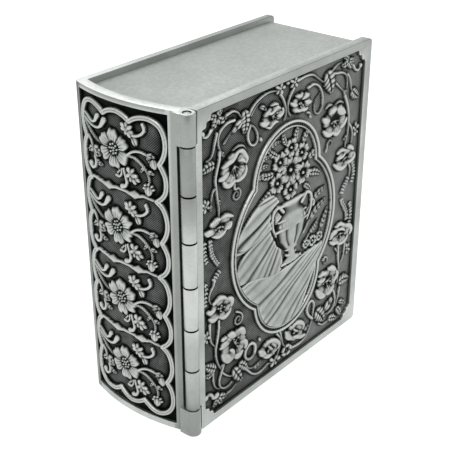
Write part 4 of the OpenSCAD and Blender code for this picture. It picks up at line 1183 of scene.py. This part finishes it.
def build_page_block():
    """The walls between the covers, and the magnets' posts in the two fore-edge corners."""
    outline = spine_arc(SPINE_R - SPINE_T - 0.1, CASE_Y, BACK_Y, 60) + [(PAGE_X, BACK_Y), (PAGE_X, CASE_Y)]
    block = prism("page_walls", outline, PAGE_LO, PAGE_HI, axis="z")
    hollow = [(-30.0, -1.0), (HOLLOW_X, -1.0), (HOLLOW_X, 60.0), (-30.0, 60.0)]
    boolean(block, prism("hollow", hollow, HOLLOW_LO, HOLLOW_HI, axis="z"))
    weld(block)
    bevel(block, 0.22, 2)
    # painted light: the page walls are lighter towards the front than towards the back
    point_attribute(block, [0.87 if y < 20 else 0.81 for x, y, z in book_points(block)])
    posts = []
    for name, z in (("post_foot", 5.8), ("post_top", 94.2)):
        profile = [(2.05, CASE_Y), (3.05, CASE_Y), (3.2, CASE_Y + 0.15), (3.2, 12.35), (3.05, 12.5),
                   (0.02, 12.5), (0.02, 5.7), (2.05, 5.7)]
        post = lathe(name, profile, 0.0, 0.0, 64, smooth_angle=50)
        post.data.transform(Matrix.Translation(-Vector(place(0, 0, 0))))
        lie_down = Matrix.Rotation(math.radians(-90), 4, "X")
        post.data.transform(Matrix.Translation(place(75.2, 0.0, z)) @ lie_down)
        soften(post, 50)
        point_attribute(post, [0.7] * len(post.data.vertices))
        posts.append(post)
    return block, posts


# ---------------------------------------------------------------- lining

def pad(name, width, height, thick, to_point, cell=0.8, roll=0.5):
    """A thin crowned pad over width by height, whose edges roll down to its back."""
    nu, nv = int(width / cell) + 1, int(height / cell) + 1
    # the rows and columns lie closer together towards the edges
    a, b = (0.6 * np.linspace(0, 1, n) + 0.4 * (0.5 - 0.5 * np.cos(np.linspace(0, np.pi, n)))
            for n in (nu, nv))
    uu, vv = np.meshgrid(a * width, b * height)
    edge = np.minimum(np.minimum(uu, width - uu), np.minimum(vv, height - vv))
    up = np.sqrt(np.clip(1 - (1 - np.clip(edge / roll, 0, 1)) ** 2, 0, 1))
    crown = 0.62 + 0.38 * smooth(edge, 0.0, 5.0)
    nap = 0.025 * np.sin(uu * 1.9 + 0.8 * np.sin(vv * 0.7)) * np.sin(vv * 1.3 + 0.6 * np.sin(uu * 0.5))
    top = thick * np.clip((0.12 + 0.88 * up) * crown + nap, 0.05, 1)
    points = np.vstack([to_point(uu.ravel(), vv.ravel(), top.ravel()), to_point(uu.ravel(), vv.ravel(), 0)])
    number = np.arange(nu * nv).reshape(nv, nu)
    quads = np.stack([number[:-1, :-1], number[:-1, 1:], number[1:, 1:], number[1:, :-1]], -1).reshape(-1, 4)
    ring = np.concatenate([number[0, :], number[1:, -1], number[-1, -2::-1], number[-2:0:-1, 0]])
    following = np.roll(ring, -1)
    walls = np.stack([ring, ring + nu * nv, following + nu * nv, following], 1)
    return make(name, points, np.vstack([quads, quads[:, ::-1] + nu * nv, walls]).tolist(), 70)


def on_arc(u, v, w):
    """The lining along the spine's inner face."""
    turn = (5.7 + u - SPINE_CY) / 52.2
    r = SPINE_R - SPINE_T - 0.08 - w
    return place_all(SPINE_CX - r * np.sqrt(1 - turn ** 2), SPINE_CY + r * turn, 4.0 + v)


def build_pads():
    """The velvet lining of the floor, the four walls and the inside of the cover, by CAD node."""
    thick, thin = 1.35, 0.95
    # each node's piece, width, height, thickness and its place from (across, up, out of the wall)
    pads = (
        ("floor_pad", "lining_floor", 74.2, 89.4, thick,
         lambda u, v, w: place_all(1.4 + u, 38.12 - w, 5.3 + v)),
        ("top_pad", "lining_top", 70.2, 31.0, thin,
         lambda u, v, w: place_all(1.4 + u, 5.6 + v, 96.12 - w)),
        ("bottom_pad", "lining_foot", 70.2, 31.0, thin,
         lambda u, v, w: place_all(1.4 + u, 5.6 + v, 3.88 + w)),
        ("fore_edge_pad", "lining_fore_edge", 31.0, 81.2, thin,
         lambda u, v, w: place_all(77.12 - w, 5.6 + u, 9.4 + v)),
        ("spine_pad", "lining_spine", 30.6, 92.0, thin, on_arc),
        ("lid_pad", "lining_cover", 68.9, 89.0, thick,
         lambda u, v, w: place_all(2.7 + u, 3.18 + w, 5.5 + v)))
    return {node: pad(*size) for node, *size in pads}


# ---------------------------------------------------------------- materials

def shader(name):
    """A new node material: its node tree and its Principled shader."""
    mat = bpy.data.materials.new(name)
    mat.use_nodes = True
    return mat, mat.node_tree, mat.node_tree.nodes["Principled BSDF"]


def connect(values, sockets):
    """Gives each input its value, or links another node's output to it."""
    for value, socket in zip(values, sockets):
        if isinstance(value, bpy.types.NodeSocket):
            socket.id_data.links.new(value, socket)
        elif value is not None:
            socket.default_value = value


def set_inputs(node, **inputs):
    """Sets or links a node's inputs, whose names take _ for a space."""
    connect(inputs.values(), [node.inputs[key.replace("_", " ")] for key in inputs])


def add(tree, kind, output, **inputs):
    """Adds a node with its inputs and gives one of its outputs."""
    node = tree.nodes.new(kind)
    set_inputs(node, **inputs)
    return node.outputs[output]


def ramp(tree, source, *stops):
    """A colour ramp on a value. Each stop is a place and a grey or a colour."""
    node = tree.nodes.new("ShaderNodeValToRGB")
    band = node.color_ramp
    while len(band.elements) < len(stops):
        band.elements.new(0.5)
    for element, (at, tone) in zip(band.elements, stops):
        element.position = at
        element.color = (tone, tone, tone, 1.0) if isinstance(tone, float) else (*tone, 1.0)
    tree.links.new(source, node.inputs["Fac"])
    return node.outputs["Color"]


def maths(tree, operation, *terms):
    """One sum on values or sockets."""
    node = tree.nodes.new("ShaderNodeMath")
    node.operation = operation
    connect(terms, node.inputs)
    return node.outputs[0]


def object_coords(tree, scale=(1, 1, 1)):
    """The object's own coordinates, scaled."""
    coords = add(tree, "ShaderNodeTexCoord", "Object")
    return add(tree, "ShaderNodeMapping", "Vector", Vector=coords, Scale=scale)


def noise(tree, vector, scale, detail=3.0, rough=0.6):
    return add(tree, "ShaderNodeTexNoise", "Fac", Vector=vector, Scale=scale, Detail=detail,
               Roughness=rough)


def bump(tree, height, strength, distance, normal=None):
    return add(tree, "ShaderNodeBump", "Normal", Height=height, Strength=strength, Distance=distance,
               Normal=normal)


def attribute(tree, name):
    node = tree.nodes.new("ShaderNodeAttribute")
    node.attribute_name = name
    return node.outputs["Fac"]


BLACK = (0.003, 0.004, 0.004)
SOOT = (0.018, 0.020, 0.019)
LEAD = (0.082, 0.087, 0.084)
PEWTER = (0.226, 0.240, 0.230)
SATIN = (0.346, 0.365, 0.350)
RUBBED = (0.464, 0.488, 0.468)
BRIGHT = (0.700, 0.728, 0.706)
WINE = ((0.045, 0.003, 0.008), (0.13, 0.009, 0.020), (0.24, 0.022, 0.038))
DULL_STEEL = (0.25, 0.25, 0.26)
STEEL = (0.46, 0.47, 0.48)

# pitches of the hatched ground and of the page block's ribs, in millimetres
HATCH_PITCH = 0.46
RIB_PITCH = 0.44


def hatching(tree, across, pitch):
    """Fine parallel lines: 0 to 1 along the direction across."""
    where = object_coords(tree)
    shaken = tree.nodes.new("ShaderNodeVectorMath")
    shaken.operation = "DOT_PRODUCT"
    connect((where, [c * 2 * math.pi / (pitch * MM) for c in across]), shaken.inputs)
    wobble = maths(tree, "MULTIPLY", noise(tree, where, 500.0, 1.0, 0.5), 3.0)
    wave = maths(tree, "SINE", maths(tree, "ADD", shaken.outputs["Value"], wobble))
    return maths(tree, "MULTIPLY_ADD", wave, 0.5, 0.5)


def cast_metal(name, across):
    """Antiqued pewter: black in the hollows, hatched ground, rubbed bright on the forms."""
    mat, tree, bsdf = shader(name)
    where = object_coords(tree)
    fine = noise(tree, where, 2400.0, 2.0)
    patchy = maths(tree, "MULTIPLY_ADD", noise(tree, where, 260.0, 4.0), 0.30, -0.15)
    grain = maths(tree, "MULTIPLY_ADD", fine, 0.14, -0.07)
    bare = maths(tree, "ADD", maths(tree, "ADD", attribute(tree, "wear_and_painted_light"), patchy), grain)
    # the hatch shows on the ground only
    ground = attribute(tree, "hatch")
    cut = maths(tree, "MULTIPLY", hatching(tree, across, HATCH_PITCH), ground)
    mean = maths(tree, "MULTIPLY", ground, -0.12)
    shown = maths(tree, "ADD", bare, maths(tree, "MULTIPLY_ADD", cut, 0.27, mean))
    set_inputs(bsdf, Metallic=1.0,
               Base_Color=ramp(tree, shown, (0.0, BLACK), (0.16, SOOT), (0.36, LEAD), (0.62, PEWTER),
                               (0.95, RUBBED)),
               Roughness=ramp(tree, shown, (0.1, 0.6), (0.6, 0.42), (0.95, 0.33)),
               Normal=bump(tree, cut, 0.6, 0.00007, bump(tree, fine, 0.25, 0.00003)))
    return mat


def frame_metal(name, streak=(1, 1, 12), ribbed=False):
    """Brushed satin pewter with darker handling stains, or a matt and finely ribbed one."""
    mat, tree, bsdf = shader(name)
    stain = 0.1 if ribbed else 0.26
    brushed = noise(tree, object_coords(tree, streak), 900.0)
    stains = noise(tree, object_coords(tree), 60.0, 4.0, 0.55)
    tone_in = maths(tree, "MULTIPLY_ADD", brushed, 0.16, -0.08)
    stain_in = maths(tree, "MULTIPLY_ADD", stains, stain, -stain / 2)
    shown = maths(tree, "ADD", maths(tree, "ADD", attribute(tree, "wear_and_painted_light"), tone_in), stain_in)
    normal = bump(tree, brushed, 0.18, 0.00002)
    gloss = ((0.4, 0.55), (0.9, 0.36))
    if ribbed:
        lines = hatching(tree, (1, 0, 1), RIB_PITCH)
        shown = maths(tree, "ADD", shown, maths(tree, "MULTIPLY_ADD", lines, 0.16, -0.09))
        normal = bump(tree, lines, 0.8, 0.00005, normal)
        gloss = ((0.4, 0.75), (0.9, 0.62))
    set_inputs(bsdf, Metallic=0.6 if ribbed else 1.0, Normal=normal, Roughness=ramp(tree, shown, *gloss),
               Base_Color=ramp(tree, shown, (0.0, BLACK), (0.2, SOOT), (0.42, LEAD), (0.62, PEWTER),
                               (0.78, SATIN), (1.0, BRIGHT)))
    return mat


def velvet(name):
    """Deep red velvet with a soft nap."""
    mat, tree, bsdf = shader(name)
    where = object_coords(tree)
    parts = (noise(tree, where, 1500.0), noise(tree, where, 90.0, rough=0.5))
    mixed = maths(tree, "ADD", *[maths(tree, "MULTIPLY", part, 0.5) for part in parts])
    set_inputs(bsdf, Base_Color=ramp(tree, mixed, *zip((0.3, 0.5, 0.72), WINE)), Roughness=0.9,
               Sheen_Weight=0.7, Sheen_Roughness=0.4, Sheen_Tint=(0.8, 0.25, 0.3, 1.0),
               Normal=bump(tree, mixed, 0.5, 0.0002))
    return mat


def turned_steel(name):
    """Bright steel with fine turning marks."""
    mat, tree, bsdf = shader(name)
    marks = noise(tree, object_coords(tree, (1, 1, 6)), 700.0)
    set_inputs(bsdf, Base_Color=ramp(tree, marks, (0.25, DULL_STEEL), (0.75, STEEL)), Metallic=1.0,
               Roughness=ramp(tree, marks, (0.2, 0.42), (0.8, 0.26)), Normal=bump(tree, marks, 0.2, 0.00002))
    return mat


# ---------------------------------------------------------------- build

def dress(obj, material, body, slot, *nodes):
    """Gives a piece its material, its body and the CAD nodes that it stands for."""
    obj.data.materials.clear()
    obj.data.materials.append(material)
    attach(obj, body)
    if nodes:
        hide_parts(*nodes)


def build_front_relief():
    p = Plate(1.5, 77.5, 2.0, 98.05, 0.224)
    front_flowers(p)
    corner_leaves(p)
    border_leaves(p)
    border_vines(p)
    side_sprays(p)
    uu, vv = np.meshgrid(p.u, p.v)
    inside = inside_stepped(uu, vv, 0.15) & (medallion_depth(uu, vv) < 0.6)
    # painted shade: the ground is darker towards the spine
    ground = 0.29 + 0.17 * smooth(uu, 6.0, 66.0)
    return relief_piece("cover_ornament", p, inside, to_front, ground, 0.24)


def bead(depth, at, half, power):
    """A bead's section: 1 on its middle line, at a depth inside the medallion's outline."""
    return np.clip(1 - np.abs((depth - at) / half) ** power, 0, 1) ** 0.5


def build_medallion():
    p = Plate(13.4, 65.3, 14.3, 85.7, 0.17)
    uu, vv = np.meshgrid(p.u, p.v)
    depth = medallion_depth(uu, vv)
    medallion_scene(p)
    p.h[depth < 2.3] = 0
    # rim: a broad bead outside, a band of slanting ticks and a thin bead inside
    along = np.arctan2(vv - MED_Z, uu - MED_X) * 34
    ticks = 0.42 + 0.22 * np.cos(along * 6.3 + depth * 4)
    for rim in (bead(depth, 0.52, 0.56, 2.6), bead(depth, 1.34, 0.34, 2.4) * ticks,
                bead(depth, 1.98, 0.3, 2.4) * 0.85):
        p.lift(slice(None), rim)
    return relief_piece("medallion_ornament", p, depth > 0.0, to_front, 0.45, 0.1)


def build_spine_relief():
    p = Plate(5.5, 38.9, 1.5, 99.0, 0.183)
    for k in range(4):
        spine_ribs(p, PANEL_PITCH * k, k == 0, k == 3)
        spine_panel(p, PANEL_PITCH * k)
    uu, vv = np.meshgrid(p.u, p.v)
    (y0, y1), (z0, z1) = POCKET_Y, POCKET_Z
    inside = (uu > y0 - 0.15) & (uu < y1 + 0.15) & (vv > z0 - 0.15) & (vv < z1 + 0.15)
    # black outside the lobes
    margin = np.minimum(np.minimum(uu - y0, y1 - uu), np.minimum(vv - z0, z1 - vv))
    ground = 0.02 + 0.27 * smooth(margin, 0.8, 5.0)
    return relief_piece("spine_ornament", p, inside, to_spine, ground, 0.3, flip=True)


front_metal = cast_metal("aged_cast_front", (0.7071, 0.0, 0.7071))
spine_metal = cast_metal("aged_cast_spine", (0.0, 0.7071, 0.7071))
lid_metal = frame_metal("satin_cover")
case_metal = frame_metal("satin_case")
page_metal = frame_metal("ribbed_pages", (1, 1, 1), ribbed=True)
red_velvet = velvet("red_velvet")
steel = turned_steel("turned_steel")

dress(build_front_relief(), front_metal, "lid", "patina_metal", "cover_relief")
dress(build_medallion(), front_metal, "lid", "patina_metal", "medallion")
dress(build_spine_relief(), spine_metal, "case", "patina_metal", "spine_relief")
lid, barrel = build_lid_shell()
dress(lid, lid_metal, "lid", "bright_metal", "front_cover")
dress(barrel, lid_metal, "lid", "bright_metal")
dress(build_case_shell(), case_metal, "case", "bright_metal", "cover_shell")
for name, z, stained in (("knuckle_top", BOOK_H - KNUCKLE_H, True), ("knuckle_foot", 0.0, False)):
    for piece in build_knuckle(name, z, stained):
        dress(piece, case_metal, "case", "bright_metal")
dress(build_pin(), steel, "case", "pin_steel", "hinge_pin")
block, posts = build_page_block()
dress(block, page_metal, "case", "page_metal", "page_block")
for piece in posts:
    dress(piece, page_metal, "case", "page_metal")
for node, piece in build_pads().items():
    dress(piece, red_velvet, "lid" if node == "lid_pad" else "case", "velvet", node)
for node in ("closing_magnets", "steel_discs"):
    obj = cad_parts[node]
    obj.data.materials.clear()
    obj.data.materials.append(steel)


# ---------------------------------------------------------------- camera, floor and light

# fitted to the photo's corner points: its width and the focal length in pixels, the rest in millimetres
PHOTO_W = 450
FOCAL_PX = 979.215
SENSOR = 36.0
CAMERA_AT = (-168.997, -152.491, 187.066)
RIGHT = Vector((0.64594811, -0.76337882, -0.00195364))
DOWN = Vector((-0.35483516, -0.29798292, -0.88617052))
AHEAD = Vector((0.67590166, 0.57311339, -0.46335515))
FLOOR_HALF = 4.0

camera = bpy.data.objects.new("camera", bpy.data.cameras.new("camera"))
bpy.context.scene.collection.objects.link(camera)
camera.data.sensor_width = SENSOR
camera.data.lens = FOCAL_PX / PHOTO_W * SENSOR
camera.data.clip_start = 0.01
camera.data.clip_end = 20.0
axes = Matrix((RIGHT, -DOWN, -AHEAD)).transposed().to_4x4()
camera.matrix_world = Matrix.Translation(place(*CAMERA_AT)) @ axes
bpy.context.scene.camera = camera


def seen_rays(tree):
    """1 for rays that show the surroundings: straight, in a gloss or through glass."""
    path = tree.nodes.new("ShaderNodeLightPath")
    glossy = maths(tree, "MAXIMUM", path.outputs["Is Camera Ray"], path.outputs["Is Glossy Ray"])
    return maths(tree, "MAXIMUM", glossy, path.outputs["Is Transmission Ray"])


def build_floor():
    """A pale floor that keeps the shadow and shows white."""
    mesh = bpy.data.meshes.new("floor")
    s = FLOOR_HALF
    mesh.from_pydata([(-s, -s, 0), (s, -s, 0), (s, s, 0), (-s, s, 0)], [], [(0, 1, 2, 3)])
    mat, tree, bsdf = shader("pale_floor")
    grain = noise(tree, object_coords(tree), 8.0, 2.0, 0.5)
    set_inputs(bsdf, Base_Color=ramp(tree, grain, (0.3, 0.88), (0.7, 0.92)), Roughness=0.9,
               Specular_IOR_Level=0.1, Emission_Color=(1, 1, 1, 1),
               Emission_Strength=maths(tree, "MULTIPLY", seen_rays(tree), 0.55))
    mesh.materials.append(mat)
    link(mesh, "floor")


def build_world():
    """White where it is seen, and half as strong as a light."""
    world = bpy.data.worlds.new("studio")
    bpy.context.scene.world = world
    world.use_nodes = True
    tree = world.node_tree
    set_inputs(tree.nodes["Background"], Color=(1, 1, 1, 1),
               Strength=maths(tree, "MULTIPLY_ADD", seen_rays(tree), 0.5, 0.5))


def lamp(name, at, size, power):
    """A soft square lamp aimed at the object's middle."""
    data = bpy.data.lights.new(name, "AREA")
    data.shape = "SQUARE"
    data.size = size
    data.energy = power
    obj = bpy.data.objects.new(name, data)
    obj.location = at
    obj.rotation_mode = "QUATERNION"
    obj.rotation_quaternion = (Vector((0.0, 0.0, BOOK_H * MM / 2)) - Vector(at)).to_track_quat("-Z", "Y")
    bpy.context.scene.collection.objects.link(obj)


build_floor()
build_world()
lamp("key", (-0.55, -0.30, 0.80), 0.5, 2.2)
lamp("top", (0.25, 0.45, 0.75), 0.6, 1.5)
lamp("fill", (0.65, -0.70, 0.35), 0.7, 0.8)
bpy.context.scene.view_settings.view_transform = "Standard"
